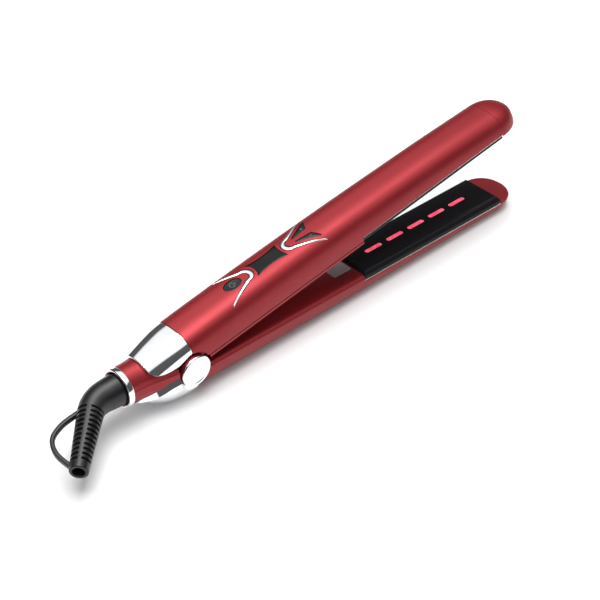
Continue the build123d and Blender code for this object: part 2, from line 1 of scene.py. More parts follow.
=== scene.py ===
# %% [markdown]
# # A hair straightener, lying open on a pale table
#
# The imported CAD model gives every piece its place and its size. This notebook builds the visible
# skins around it: lacquered casings, chrome cap and heel, a rubber boot, glowing slots. Each step
# first says what the piece is on the real object and how it could be made, and then makes it.

# %% Load the CAD frame
import math

import bmesh
import bpy
import numpy as np
from mathutils import Matrix, Vector


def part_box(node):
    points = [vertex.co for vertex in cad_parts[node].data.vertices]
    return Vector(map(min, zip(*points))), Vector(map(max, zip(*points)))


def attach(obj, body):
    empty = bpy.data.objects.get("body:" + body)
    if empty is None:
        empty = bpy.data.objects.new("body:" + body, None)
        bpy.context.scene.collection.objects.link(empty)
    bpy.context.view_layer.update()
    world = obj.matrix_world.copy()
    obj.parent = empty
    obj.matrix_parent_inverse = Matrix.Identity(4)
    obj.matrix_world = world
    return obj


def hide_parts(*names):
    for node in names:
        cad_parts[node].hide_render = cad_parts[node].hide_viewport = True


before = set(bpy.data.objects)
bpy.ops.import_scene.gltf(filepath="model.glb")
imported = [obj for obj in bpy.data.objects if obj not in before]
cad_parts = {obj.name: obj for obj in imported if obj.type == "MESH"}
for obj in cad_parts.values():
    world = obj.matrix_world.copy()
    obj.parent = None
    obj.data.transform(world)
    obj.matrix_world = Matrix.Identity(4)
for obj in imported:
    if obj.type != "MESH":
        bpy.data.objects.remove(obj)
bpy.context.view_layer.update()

# %% [markdown]
# ## Two drawing boards
#
# A straightener is two long arms on one pin. It is easiest to draw each arm on its own board, in
# millimetres, with the pin at the origin, x towards the tips and z = 0 where the plates meet. The
# upper board is then swung open about the pin, and both are tilted a little, because the iron rests
# on its chrome heel and on its belly. Two small functions carry points from a board to the table.

# %% From the drawing boards to the table
OPEN_ANGLE = math.radians(9.7)
HEEL_CONTACT = (-6.0, -19.2)
BELLY_CONTACT = (205.0, -12.5)
TABLE_SLOPE = (BELLY_CONTACT[1] - HEEL_CONTACT[1]) / (BELLY_CONTACT[0] - HEEL_CONTACT[0])
REST_TILT = math.atan(TABLE_SLOPE)
ORIGIN_X = 150.0
PIN_HEIGHT = (TABLE_SLOPE * HEEL_CONTACT[0] - HEEL_CONTACT[1]) * math.cos(REST_TILT)


def turned(points, angle):
    """Rotate an (n, 3) array about the Y axis."""
    c, s = math.cos(angle), math.sin(angle)
    x, y, z = np.asarray(points, float).T
    return np.stack([x * c + z * s, y, z * c - x * s], 1)


def lower_board(points):
    placed = turned(points, REST_TILT)
    placed += (-ORIGIN_X * math.cos(REST_TILT), 0.0, PIN_HEIGHT)
    return placed * 0.001


def upper_board(points):
    return lower_board(turned(points, -OPEN_ANGLE))


def table_z(x):
    """Height of the table as the lower board sees it."""
    return HEEL_CONTACT[1] + TABLE_SLOPE * (np.asarray(x) - HEEL_CONTACT[0])


pin_low, pin_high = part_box("hinge_pin")
pin_centre = (pin_low + pin_high) * 500
drawn = lower_board([[0, 0, 0]])[0] * 1000
print("pin centre, CAD and drawn, mm", [round(v, 2) for v in pin_centre], drawn.round(2))

# %% [markdown]
# ## The shape of an arm
#
# Across the arm the casing is an arch: flat on top, round at the shoulders, straight at the sides.
# A box with rounded corners would look dead in the light, since its shine would stop at each
# corner. A superellipse has no corner at all, so the highlight rolls round the shoulder. Stations
# along the arm give its half width, height and squareness, and a smooth curve joins them.

# %% Stations
UPPER_STATIONS = np.array([
    (-26.0, 12.2, 14.8, 2.3),
    (-20.0, 13.0, 16.2, 2.4),
    (-12.0, 13.8, 17.5, 2.7),
    (-4.0, 14.2, 18.1, 3.1),
    (6.0, 14.3, 18.4, 3.2),
    (45.0, 14.35, 19.0, 3.2),
    (75.0, 14.35, 19.1, 3.2),
    (110.0, 14.35, 18.7, 3.2),
    (150.0, 14.35, 17.9, 3.1),
    (185.0, 14.35, 17.0, 3.0),
    (210.0, 14.35, 15.9, 2.9),
    (222.0, 14.35, 15.2, 2.9),
])
LOWER_STATIONS = np.array([
    (-9.0, 13.7, 15.3, 2.7),
    (2.0, 14.2, 16.2, 3.0),
    (20.0, 14.3, 16.4, 3.0),
    (60.0, 14.3, 16.1, 3.0),
    (105.0, 14.3, 15.85, 3.0),
    (140.0, 14.3, 14.8, 3.0),
    (180.0, 14.3, 13.55, 3.0),
    (210.0, 14.3, 12.8, 3.0),
    (222.0, 14.3, 12.5, 3.0),
])
ROUND_TIP_X = 222.0
TIP_POWER = 2.4
TIP_SOFTENING = 0.4
# Stations, tip and how far the tip sinks, for each arm.
UPPER_ARM = (UPPER_STATIONS, 240.0, 0.5)
LOWER_ARM = (LOWER_STATIONS, 237.5, 0.33)
print("stations:", len(UPPER_STATIONS), "upper,", len(LOWER_STATIONS), "lower")

# %% A smooth curve through the stations
def blended(stations, x):
    """Every column of the stations at x, on a smooth curve through them."""
    xs = stations[:, 0]
    values = stations[:, 1:]
    steps = np.diff(xs)
    slopes = np.diff(values, axis=0) / steps[:, None]
    tangents = np.vstack([slopes[:1], (slopes[:-1] + slopes[1:]) / 2, slopes[-1:]])
    i = int(np.clip(np.searchsorted(xs, x) - 1, 0, len(xs) - 2))
    t = (x - xs[i]) / steps[i]
    rest = 1 - t
    return ((1 + 2 * t) * rest ** 2 * values[i] + t * rest ** 2 * steps[i] * tangents[i]
            + t ** 2 * (3 - 2 * t) * values[i + 1] - t ** 2 * rest * steps[i] * tangents[i + 1])


def arm_at(arm, x):
    """Half width, height and squareness of an arm at x, its rounded tip included."""
    stations, tip_x, sink = arm
    if x <= ROUND_TIP_X:
        return blended(stations, x)
    _, half_width, height, power = stations[-1]
    share = min((x - ROUND_TIP_X) / (tip_x - ROUND_TIP_X), 1.0)
    shrink = (1 - share ** TIP_POWER) ** (1 / TIP_POWER)
    level = math.sqrt(1 - share ** 2)
    return np.array([half_width * shrink, height * (1 - sink * (1 - level)),
                     power - TIP_SOFTENING * (1 - shrink)])


print("arm at x = 100:", arm_at(UPPER_ARM, 100.0).round(2))

# %% The arch
ARCH_STEPS = 240


def arch(half_width, height, power, low, count):
    """Evenly spaced (y, z) points over the arch, from +y to -y, above the height low."""
    half_angle = np.linspace(0, math.pi / 2, ARCH_STEPS + 1)
    y = np.cos(half_angle) ** (2 / power) * half_width
    z = np.sin(half_angle) ** (2 / power) * height
    y[-1] = 0.0
    share = np.interp(low, z, np.arange(len(z)))
    first = int(share)
    part = share - first
    start = [y[first] * (1 - part) + y[min(first + 1, ARCH_STEPS)] * part, low]
    side = np.vstack([start, np.stack([y, z], 1)[first + 1:]])
    whole = np.vstack([side, side[-2::-1] * (-1, 1)])
    run = np.concatenate([[0], np.cumsum(np.hypot(*np.diff(whole, axis=0).T))])
    even = np.linspace(0, run[-1], count)
    return np.stack([np.interp(even, run, whole[:, 0]), np.interp(even, run, whole[:, 1])], 1)


print("arch of five points:", arch(14.0, 18.0, 3.0, 0.0, 5).round(1).tolist())

# %% [markdown]
# ## From points to a Blender piece
#
# A moulded shell has a wall, so a bare skin with no thickness would look like paper at its rim and
# would be useless as an exported mesh. Each row is a closed loop: over the outside, round the lip,
# back along the inside and round the other lip. Rows of such loops, joined by four-sided faces and
# closed at both ends, give a watertight wall whose rounded rims catch the light.

# %% Placing a piece
def turn_outwards(mesh):
    """Turn every face to the outside."""
    work = bmesh.new()
    work.from_mesh(mesh)
    bmesh.ops.recalc_face_normals(work, faces=work.faces)
    work.to_mesh(mesh)
    work.free()


def shade_smooth(mesh, sharp):
    """Smooth shading, with a hard edge where the fold is more than sharp degrees."""
    mesh.polygons.foreach_set("use_smooth", [True] * len(mesh.polygons))
    mesh.set_sharp_from_angle(angle=math.radians(sharp))


def add_piece(name, points, faces, body, material, replaces=(), sharp=35.0):
    """A smooth-shaded object from points in metres, riding on its CAD body."""
    mesh = bpy.data.meshes.new(name)
    mesh.from_pydata([tuple(p) for p in points], [], faces)
    mesh.materials.append(material)
    turn_outwards(mesh)
    shade_smooth(mesh, sharp)
    piece = bpy.data.objects.new(name, mesh)
    bpy.context.scene.collection.objects.link(piece)
    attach(piece, body)
    if replaces:
        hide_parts(*replaces)
    return piece


print("a piece can be placed")

# %% Solids from rows of points
def joined_rows(rows, count, closed=True):
    """Quads between neighbouring rows of count points each."""
    faces = []
    last = count if closed else count - 1
    for row in range(rows - 1):
        for i in range(last):
            j = (i + 1) % count
            a = row * count
            faces.append((a + i, a + j, a + count + j, a + count + i))
    return faces


def tube(rings):
    """A closed solid through rings of equal count, with one flat face at each end."""
    count = len(rings[0])
    faces = joined_rows(len(rings), count)
    faces.append(tuple(range(count)))
    faces.append(tuple(range((len(rings) - 1) * count, len(rings) * count))[::-1])
    return np.vstack(rings), faces


def bar(rows):
    """A closed bar from rows that run along it, one after another round its section."""
    sides, count = len(rows), len(rows[0])
    faces = []
    for i in range(sides):
        j = (i + 1) % sides
        for k in range(count - 1):
            faces.append((i * count + k, i * count + k + 1, j * count + k + 1, j * count + k))
    faces.append(tuple(i * count for i in range(sides)))
    faces.append(tuple(i * count + count - 1 for i in range(sides))[::-1])
    return np.vstack(rows), faces


def merged(solids):
    """Several (points, faces) solids as one."""
    faces = []
    base = 0
    for solid_points, solid_faces in solids:
        faces += [tuple(base + i for i in f) for f in solid_faces]
        base += len(solid_points)
    return np.vstack([solid_points for solid_points, _ in solids]), faces


def flipped(points):
    return np.asarray(points) * (1, 1, -1)


print("solids can be made from rows")

# %% A moulded wall
LIP_TURNS = np.radians([30, 60, 90])
END_TURNS = np.radians([0, 30, 60, 90])
INSIDE_START = len(LIP_TURNS)
LEAST_ARCH = 0.15


def wall_row(x, shape, low, wall, inset, lip, count):
    """One closed loop of a shell wall: outside, lip, inside, lip."""
    half_width, height, power = shape
    outer = arch(half_width - inset, height - inset, power, low + lip, count)
    inner = arch(half_width - wall, height - wall, power, low, count)[::-1]
    drop = lip * (1 - np.sin(LIP_TURNS)) + low
    side = lip * (1 - np.cos(LIP_TURNS))
    near = np.stack([outer[-1, 0] + side, drop], 1)
    far = np.stack([outer[0, 0] - side, drop], 1)[::-1]
    loop = np.vstack([outer, near, inner, far])
    return np.column_stack([np.full(len(loop), x), loop])


def end_faces(start, count, total):
    """Faces that close one end of a wall between its outside and its inside."""
    inner = count + INSIDE_START
    faces = []
    for i in range(count - 1):
        faces.append((start + i, start + i + 1,
                      start + inner + count - 2 - i, start + inner + count - 1 - i))
    faces.append(tuple(start + i for i in range(count - 1, inner + 1)))
    faces.append(tuple(start + i for i in [*range(inner + count - 1, total), 0]))
    return faces


def shell(arm, xs, low_at, wall, lip=0.25, end_round=0.3, count=84):
    """A closed moulded wall along xs, with rounded ends."""
    x0, x1 = xs[0], xs[-1]
    inner_xs = [x for x in xs if x0 + end_round < x < x1 - end_round]
    rows = [(x0 + end_round * (1 - math.sin(a)), end_round * (1 - math.cos(a)))
            for a in END_TURNS[::-1]]
    rows += [(x, 0.0) for x in inner_xs]
    rows += [(x1 - end_round * (1 - math.sin(a)), end_round * (1 - math.cos(a)))
             for a in END_TURNS]
    points = []
    for x, inset in rows:
        shape = arm_at(arm, x)
        low = min(low_at(x), shape[1] - wall - LEAST_ARCH)
        points.append(wall_row(x, shape, low, wall, inset, lip, count))
    total = len(points[0])
    faces = joined_rows(len(rows), total)
    faces += end_faces(0, count, total)
    faces += [f[::-1] for f in end_faces((len(rows) - 1) * total, count, total)]
    return np.vstack(points), faces


print("a wall has rounded lips and ends")

# %% Turned solids
def spun(profile, axis, segments=96):
    """Turn a closed profile of (distance along the axis, radius) about the x, y or z axis."""
    profile = np.asarray(profile, float)
    points = []
    for angle in np.linspace(0, 2 * math.pi, segments, endpoint=False):
        c, s = math.cos(angle), math.sin(angle)
        along, radius = profile.T
        if axis == "x":
            points.append(np.stack([along, radius * c, radius * s], 1))
        elif axis == "z":
            points.append(np.stack([radius * c, radius * s, along], 1))
        else:
            points.append(np.stack([radius * c, along, radius * s], 1))
    count = len(profile)
    faces = joined_rows(segments, count)
    a = (segments - 1) * count
    faces += [(a + i, a + (i + 1) % count, (i + 1) % count, i) for i in range(count)]
    return np.vstack(points), faces


print("a ring of three points:", len(spun([(0, 1), (1, 1), (1, 2)], "x", 12)[1]), "faces")

# %% [markdown]
# ## Finishes
#
# Lacquer, chrome, rubber and ceramic differ less in colour than in how evenly they shine. Every
# finish here is a set of shader nodes that vary with the place on the piece: the colour between
# two near shades, the gloss with a noise, and on textured surfaces a bump at the real scale. Object
# coordinates are used all through, because they are in metres and need no unwrapping.

# %% Helpers for finishes
def finish(name, colour, metallic=0.0, roughness=0.4):
    material = bpy.data.materials.new(name)
    material.use_nodes = True
    tree = material.node_tree
    shader = tree.nodes["Principled BSDF"]
    shader.inputs["Base Color"].default_value = (*colour, 1)
    shader.inputs["Metallic"].default_value = metallic
    shader.inputs["Roughness"].default_value = roughness
    return material, tree, shader


def place(tree, stretch=(1, 1, 1)):
    """Object coordinates, stretched to make grain that runs one way."""
    where = tree.nodes.new("ShaderNodeTexCoord")
    mapping = tree.nodes.new("ShaderNodeMapping")
    mapping.inputs["Scale"].default_value = stretch
    tree.links.new(where.outputs["Object"], mapping.inputs["Vector"])
    return mapping.outputs["Vector"]


def noise(tree, scale, detail=3.0, stretch=(1, 1, 1)):
    texture = tree.nodes.new("ShaderNodeTexNoise")
    texture.inputs["Scale"].default_value = scale
    texture.inputs["Detail"].default_value = detail
    tree.links.new(place(tree, stretch), texture.inputs["Vector"])
    return texture.outputs["Fac"]


def spread_value(tree, source, low, high):
    """Map a noise of about 0.3 to 0.7 onto the range low to high."""
    node = tree.nodes.new("ShaderNodeMapRange")
    node.inputs["From Min"].default_value = 0.3
    node.inputs["From Max"].default_value = 0.7
    node.inputs["To Min"].default_value = low
    node.inputs["To Max"].default_value = high
    tree.links.new(source, node.inputs["Value"])
    return node.outputs["Result"]


def spread_colour(tree, source, dark, light):
    ramp = tree.nodes.new("ShaderNodeValToRGB")
    ramp.color_ramp.elements[0].position = 0.32
    ramp.color_ramp.elements[0].color = (*dark, 1)
    ramp.color_ramp.elements[1].position = 0.68
    ramp.color_ramp.elements[1].color = (*light, 1)
    tree.links.new(source, ramp.inputs["Fac"])
    return ramp.outputs["Color"]


def bump(tree, shader, source, height, strength=1.0):
    """height is in metres."""
    node = tree.nodes.new("ShaderNodeBump")
    node.inputs["Distance"].default_value = height
    node.inputs["Strength"].default_value = strength
    tree.links.new(source, node.inputs["Height"])
    tree.links.new(node.outputs["Normal"], shader.inputs["Normal"])


print("finish helpers ready")

# %% [markdown]
# ### Red lacquer, chrome and bright metals
#
# The casings are a metallic lacquer: tiny flakes under a satin clear coat. The flakes are made as
# a very fine noise that moves the red between two shades, and the clear coat as the shader's own
# coat. Chrome is almost a perfect mirror, so nearly all of its look is what stands round it; a
# trace of handling marks in its roughness keeps it from looking computed.

# %% Lacquer and metals
def red_lacquer():
    material, tree, shader = finish("red_satin_lacquer", (0.27, 0.017, 0.022), 0.62, 0.43)
    flakes = noise(tree, 5200, 1.0)
    clouds = noise(tree, 55, 2.0)
    tree.links.new(spread_colour(tree, flakes, (0.25, 0.013, 0.018), (0.31, 0.020, 0.026)),
                   shader.inputs["Base Color"])
    tree.links.new(spread_value(tree, clouds, 0.40, 0.47), shader.inputs["Roughness"])
    bump(tree, shader, flakes, 0.000004, 0.35)
    shader.inputs["Coat Weight"].default_value = 0.08
    shader.inputs["Coat Roughness"].default_value = 0.34
    return material


def bright_metal(name, colour, low, high, stretch=(1, 1, 1), scale=140.0, height=0.0):
    material, tree, shader = finish(name, colour, 1.0, low)
    marks = noise(tree, scale, 4.0, stretch)
    tree.links.new(spread_value(tree, marks, low, high), shader.inputs["Roughness"])
    dull = tuple(0.93 * c for c in colour)
    tree.links.new(spread_colour(tree, marks, dull, colour), shader.inputs["Base Color"])
    if height:
        bump(tree, shader, marks, height, 0.5)
    return material


BRUSHED = (8, 160, 160)
RED = red_lacquer()
CHROME = bright_metal("mirror_chrome", (0.93, 0.94, 0.95), 0.025, 0.06)
BEZEL = bright_metal("satin_bezel", (0.72, 0.70, 0.66), 0.25, 0.36, BRUSHED, 60)
STEEL = bright_metal("spring_wire", (0.62, 0.62, 0.64), 0.18, 0.30, (1, 1, 1), 900)
TIN = bright_metal("tinned_can", (0.70, 0.70, 0.67), 0.30, 0.42, (1, 1, 1), 600)
print("metals ready")

# %% [markdown]
# ### Black ceramic, plastics, rubber and the glow
#
# The hot plate has a glossy black ceramic coat, so it is dark with sharp, bright reflections and a
# faint grain along its length where the aluminium below was ground. The boot is soft rubber with a
# spark-eroded mould texture, rougher than the buttons. The five slots shine by themselves: a
# pink-red emission with a fine mottle.

# %% Darker finishes
def mould_plastic(name, dark, light, low, high, grain, height, shine=0.5):
    material, tree, shader = finish(name, light, 0.0, low)
    texture = noise(tree, grain, 3.0)
    clouds = noise(tree, 90, 2.0)
    tree.links.new(spread_colour(tree, clouds, dark, light), shader.inputs["Base Color"])
    tree.links.new(spread_value(tree, clouds, low, high), shader.inputs["Roughness"])
    if height:
        bump(tree, shader, texture, height, 0.6)
    shader.inputs["Specular IOR Level"].default_value = shine
    return material


def ceramic_coat():
    material, tree, shader = finish("black_ceramic_coat", (0.012, 0.012, 0.013), 0.0, 0.08)
    grain = noise(tree, 30, 3.0, (6, 140, 140))
    tree.links.new(spread_value(tree, grain, 0.06, 0.13), shader.inputs["Roughness"])
    tree.links.new(spread_colour(tree, grain, (0.008, 0.008, 0.009), (0.016, 0.016, 0.018)),
                   shader.inputs["Base Color"])
    shader.inputs["Specular IOR Level"].default_value = 0.12
    return material


def glowing_lens():
    material, tree, shader = finish("glowing_lens", (0.85, 0.05, 0.12), 0.0, 0.2)
    cells = noise(tree, 420, 2.0)
    glow = spread_colour(tree, cells, (0.86, 0.055, 0.13), (1.0, 0.13, 0.22))
    tree.links.new(glow, shader.inputs["Base Color"])
    tree.links.new(glow, shader.inputs["Emission Color"])
    shader.inputs["Emission Strength"].default_value = 0.75
    return material


print("dark finish helpers ready")

# %% The darker finishes themselves
CERAMIC = ceramic_coat()
GLOW = glowing_lens()
RUBBER = mould_plastic("boot_rubber", (0.006, 0.006, 0.007), (0.013, 0.013, 0.014),
                       0.30, 0.40, 2600, 0.00002, 0.42)
HEATPROOF = mould_plastic("heatproof_plastic", (0.016, 0.015, 0.015), (0.028, 0.027, 0.027),
                          0.38, 0.5, 1800, 0.00002)
GLASS = mould_plastic("smoked_window", (0.004, 0.005, 0.005), (0.007, 0.008, 0.008),
                      0.04, 0.07, 500, 0, 0.2)
BUTTON = mould_plastic("satin_black_button", (0.012, 0.014, 0.014), (0.020, 0.023, 0.023),
                       0.18, 0.26, 2200, 0.000006, 0.2)
MARK = mould_plastic("grey_print", (0.10, 0.105, 0.105), (0.14, 0.145, 0.145), 0.4, 0.5, 900, 0)
BOARD = mould_plastic("circuit_board", (0.02, 0.12, 0.05), (0.04, 0.20, 0.09),
                      0.3, 0.4, 700, 0.00002)
NYLON = mould_plastic("plain_nylon", (0.05, 0.05, 0.05), (0.09, 0.09, 0.09), 0.45, 0.6, 900, 0)
BODY = mould_plastic("display_body", (0.09, 0.09, 0.09), (0.13, 0.13, 0.13), 0.4, 0.5, 900, 0)
HEATER = mould_plastic("alumina_strip", (0.72, 0.71, 0.67), (0.85, 0.84, 0.80),
                       0.55, 0.7, 1500, 0.00001)
FOIL = mould_plastic("blank_foil", (0.36, 0.365, 0.37), (0.46, 0.465, 0.47),
                     0.42, 0.55, 1400, 0.000004)
SILICONE = mould_plastic("silicone_lead", (0.62, 0.59, 0.53), (0.75, 0.72, 0.66),
                         0.4, 0.5, 900, 0)
print("dark finishes ready")

# %% [markdown]
# ## Upper casing
#
# The upper arm is one long lacquered shell. Its top carries two chrome chevrons, a smoked window
# and three buttons, all let into the surface. Pressing them onto an unbroken skin would leave no
# shadow line round them, so their beds are really cut, with solids that follow the curve of the
# top. A Boolean does this well as long as no face of the cutter lies in the face that it cuts.

# %% Laying a drawing on the casing
POWER_X = 40.4
POWER_HALF = (5.2, 3.3)
WINDOW_X = (53.2, 73.4)
WINDOW_HALF = (5.15, 3.9)
REAR_APEX = 53.4
FRONT_APEX = 74.2
BLADE = np.array([(80.4, 0.9), (95.3, 7.6), (92.2, 2.1)])


def top_z(x, y):
    """Height of the upper casing above the board, at x and y."""
    half_width, height, power = arm_at(UPPER_ARM, float(x))
    return height * (1 - min(abs(y) / half_width, 1) ** power) ** (1 / power)


def on_top(plan, rise):
    """Lay (x, y) points on the casing, raised by rise."""
    return np.array([(x, y, top_z(x, y) + rise) for x, y in plan])


print("top of the casing at the power key:", round(top_z(POWER_X, 0.0), 2), "mm")

# %% Arcs and ovals
def arc_through(a, b, c, count):
    """count points from a to c on the circle through a, b and c."""
    a, b, c = (np.array(p, float) for p in (a, b, c))
    ab, ac = b - a, c - a
    cross = 2 * (ab[0] * ac[1] - ab[1] * ac[0])
    centre = a + np.array([ac[1] * ab @ ab - ab[1] * ac @ ac,
                           ab[0] * ac @ ac - ac[0] * ab @ ab]) / cross
    start = math.atan2(*(a - centre)[::-1])
    middle = (math.atan2(*(b - centre)[::-1]) - start) % (2 * math.pi)
    sweep = (math.atan2(*(c - centre)[::-1]) - start) % (2 * math.pi)
    if middle > sweep:
        sweep -= 2 * math.pi
    angles = start + np.linspace(0, sweep, count)
    radius = np.hypot(*(a - centre))
    return centre + radius * np.stack([np.cos(angles), np.sin(angles)], 1)


def oval(half_x, half_y, centre_x, count=64):
    angles = np.linspace(0, 2 * math.pi, count, endpoint=False)
    return np.stack([centre_x + half_x * np.cos(angles), half_y * np.sin(angles)], 1)


print("an oval has", len(oval(1, 1, 0)), "points")

# %% Window and blade outlines
PANE_BOWS = (1.0, 1.9)


def hourglass():
    (x0, x1), (end, waist) = WINDOW_X, WINDOW_HALF
    middle = (x0 + x1) / 2
    sides = [
        arc_through((x0, -end), (middle, -waist), (x1, -end), 25)[:-1],
        arc_through((x1, -end), (x1 - PANE_BOWS[0], 0), (x1, end), 13)[:-1],
        arc_through((x1, end), (middle, waist), (x0, end), 25)[:-1],
        arc_through((x0, end), (x0 + PANE_BOWS[1], 0), (x0, -end), 13)[:-1],
    ]
    return np.vstack(sides)


def rounded_corners(corners, radius, count=6):
    """Replace each corner of a polygon with a small arc."""
    corners = np.asarray(corners, float)
    outline = []
    for i, corner in enumerate(corners):
        back = corners[i - 1] - corner
        ahead = corners[(i + 1) % len(corners)] - corner
        back /= np.hypot(*back)
        ahead /= np.hypot(*ahead)
        half = math.acos(np.clip(back @ ahead, -1, 1)) / 2
        reach = radius / math.tan(half)
        bisector = (back + ahead) / np.hypot(*(back + ahead))
        centre = corner + bisector * radius / math.sin(half)
        near = centre - bisector * radius
        outline.append(arc_through(corner + back * reach, near, corner + ahead * reach, count))
    return np.vstack(outline)


def blade(side):
    outline = rounded_corners(BLADE, 0.35)
    return outline if side > 0 else (outline * (1, -1))[::-1]


print("outlines:", len(hourglass()), "points round the window")

# %% Growing an outline, and the chevrons
def grown(outline, distance):
    """Move an outline outwards, square to itself."""
    ahead = np.roll(outline, -1, 0) - np.roll(outline, 1, 0)
    normal = np.stack([ahead[:, 1], -ahead[:, 0]], 1)
    normal /= np.hypot(*normal.T)[:, None]
    area = np.sum(outline[:, 0] * np.roll(outline[:, 1], -1)
                  - np.roll(outline[:, 0], -1) * outline[:, 1])
    return outline + normal * distance * math.copysign(1, area)


# Along and across from the apex: end, knee, and how far back the point of the V lies.
OUTER_EDGE = ((21.6, 10.5), (4.4, 4.4), 0.0)
INNER_EDGE = ((20.8, 9.7), (6.3, 2.9), 2.9)


def chevron_edges(apex, sign):
    """Outer and inner edge of a rounded V, from its +y end to its -y end."""
    edges = []
    for end, knee, tip in (OUTER_EDGE, INNER_EDGE):
        far_end = np.array([apex - sign * end[0], end[1]])
        far_knee = np.array([apex - sign * knee[0], knee[1]])
        point = (apex - sign * tip, 0.0)
        near_knee = far_knee * (1, -1)
        legs = np.linspace(far_end, far_knee, 14)[:-1]
        edges.append(np.vstack([legs, arc_through(far_knee, point, near_knee, 21),
                                (legs * (1, -1))[::-1]]))
    return edges


print("chevron edge:", len(chevron_edges(REAR_APEX, 1)[0]), "points")

# %% Solids that follow the curve of the top
def pad(outline, centre, profile, depth):
    """A closed pad: rings shrink towards the centre, and profile gives (shrink in mm, rise)."""
    count = len(outline)
    rings = [on_top(outline, -depth)]
    for inwards, rise in profile:
        rings.append(on_top(grown(outline, -inwards), rise))
    edge = grown(outline, -profile[-1][0])
    top_rise = profile[-1][1]
    for share in (0.8, 0.6, 0.4, 0.2):
        rings.append(on_top(centre + (edge - centre) * share, top_rise))
    points = np.vstack(rings + [on_top([centre], top_rise), on_top([centre], -depth)])
    faces = joined_rows(len(rings), count)
    top, bottom = len(points) - 2, len(points) - 1
    last = (len(rings) - 1) * count
    for i in range(count):
        j = (i + 1) % count
        faces.append((last + i, last + j, top))
        faces.append((j, i, bottom))
    return points, faces


def stroke(edges, crown, depth):
    """A closed bar between two edges, with (share across, rise) points for its crown."""
    outer, inner = edges
    rows = [on_top(inner, -depth), on_top(outer, -depth)]
    for share, rise in crown:
        rows.append(on_top(outer * (1 - share) + inner * share, rise))
    return bar(rows)


print("pads and strokes can be laid on the casing")

# %% The beds to cut
CUT_RISE = 3.0
KEY_BED = 4.0
TRIM_BED = 0.9
CHEVRON_HALF = 0.6
CUT_PROFILE = [(0.0, CUT_RISE)]
POWER_CENTRE = np.array([POWER_X, 0.0])
WINDOW_CENTRE = np.array([sum(WINDOW_X) / 2, 0.0])
BUTTON_GAP = 0.22
TRIM_GAP = 0.14
cutters = [
    pad(grown(oval(*POWER_HALF, POWER_X), BUTTON_GAP), POWER_CENTRE, CUT_PROFILE, KEY_BED),
    pad(grown(hourglass(), TRIM_GAP), WINDOW_CENTRE, CUT_PROFILE, TRIM_BED),
]
for side in (1, -1):
    outline = blade(side)
    cutters.append(pad(grown(outline, BUTTON_GAP), outline.mean(0), CUT_PROFILE, KEY_BED))
for apex, sign in ((REAR_APEX, 1), (FRONT_APEX, -1)):
    outer, inner = chevron_edges(apex, sign)
    middle = (outer + inner) / 2
    wider = 1 + TRIM_GAP / CHEVRON_HALF
    bed = (middle + (outer - middle) * wider, middle + (inner - middle) * wider)
    cutters.append(stroke(bed, [(0.0, CUT_RISE), (1.0, CUT_RISE)], TRIM_BED))
print(len(cutters), "beds to cut")

# %% Where the casings end
SEAM_Z = 2.6
PLATE_SEAM_Z = 4.95
PLATE_X0 = 116.4
TIP_CAP_X = 223.8
RELIEF_R = 9.7
WALL = 1.8
SEAM_ROUND = 0.06
SEAM_GAP = 0.35


def circle_height(radius, x):
    """Height of a circle about the pin at x, and zero beside it."""
    return math.sqrt(max(radius ** 2 - x ** 2, 0))


def arm_seam(x):
    """Rim of a casing: along the arm, then beside the plate."""
    return SEAM_Z + SEAM_GAP if x < PLATE_X0 - 0.1 else PLATE_SEAM_Z


def upper_seam(x):
    """The same rim, lifted round the hinge."""
    return max(arm_seam(x), circle_height(RELIEF_R, x))


def even_steps(x0, x1, step):
    return list(np.linspace(x0, x1, max(2, round((x1 - x0) / step) + 1)))


def resting(points):
    """A lower arm's points, drawn like an upper one: turned over and flat on the table."""
    points = flipped(points)
    points[:, 2] = np.maximum(points[:, 2], table_z(points[:, 0]))
    return points


plate_xs = [PLATE_X0 - 0.15, PLATE_X0 - 0.05] + even_steps(PLATE_X0 + 0.8, TIP_CAP_X - 0.1, 1.4)
print("seam at the plate:", arm_seam(PLATE_X0), "mm, along the arm:", arm_seam(50.0), "mm")

# %% Cutting beds
def carved(target, solids, board):
    """Subtract solids, drawn on a board, from the object and keep the result as its mesh."""
    cutting = bpy.data.meshes.new("cutting")
    points, faces = merged(solids)
    cutting.from_pydata([tuple(p) for p in board(points)], [], faces)
    turn_outwards(cutting)
    cutter = bpy.data.objects.new("cutter", cutting)
    bpy.context.scene.collection.objects.link(cutter)
    step = target.modifiers.new("beds", "BOOLEAN")
    step.operation = "DIFFERENCE"
    step.solver = "EXACT"
    step.object = cutter
    graph = bpy.context.evaluated_depsgraph_get()
    result = bpy.data.meshes.new_from_object(target.evaluated_get(graph))
    target.modifiers.remove(step)
    target.data = result
    result.name = target.name
    bpy.data.objects.remove(cutter)
    shade_smooth(result, 30)


print("beds can be cut")

# %% The upper shell, with its beds cut
casing_xs = even_steps(1.3, RELIEF_R, 0.6) + even_steps(10.3, PLATE_X0 - 0.3, 1.0) + plate_xs
points, faces = shell(UPPER_ARM, casing_xs, upper_seam, WALL, end_round=SEAM_ROUND)
upper_casing = add_piece("upper_casing", upper_board(points), faces, "upper_arm", RED,
                         ["upper_outer_shell"])
whole = len(upper_casing.data.polygons)
carved(upper_casing, cutters, upper_board)
print("upper casing:", whole, "faces,", len(upper_casing.data.polygons), "after the beds are cut")

# %% [markdown]
# ## Window, buttons and chevrons
#
# The window is one smoked pane, flush with the casing and softly broken at its rim. The buttons
# sit a hair below the surface in a narrow gap, slightly dished for the finger. They could be cut
# from the casing's own mesh, but each moves by itself, so each is its own closed pad that rides on
# its own body. The chevrons are chrome bars with a rounded crown, like drawn wire.

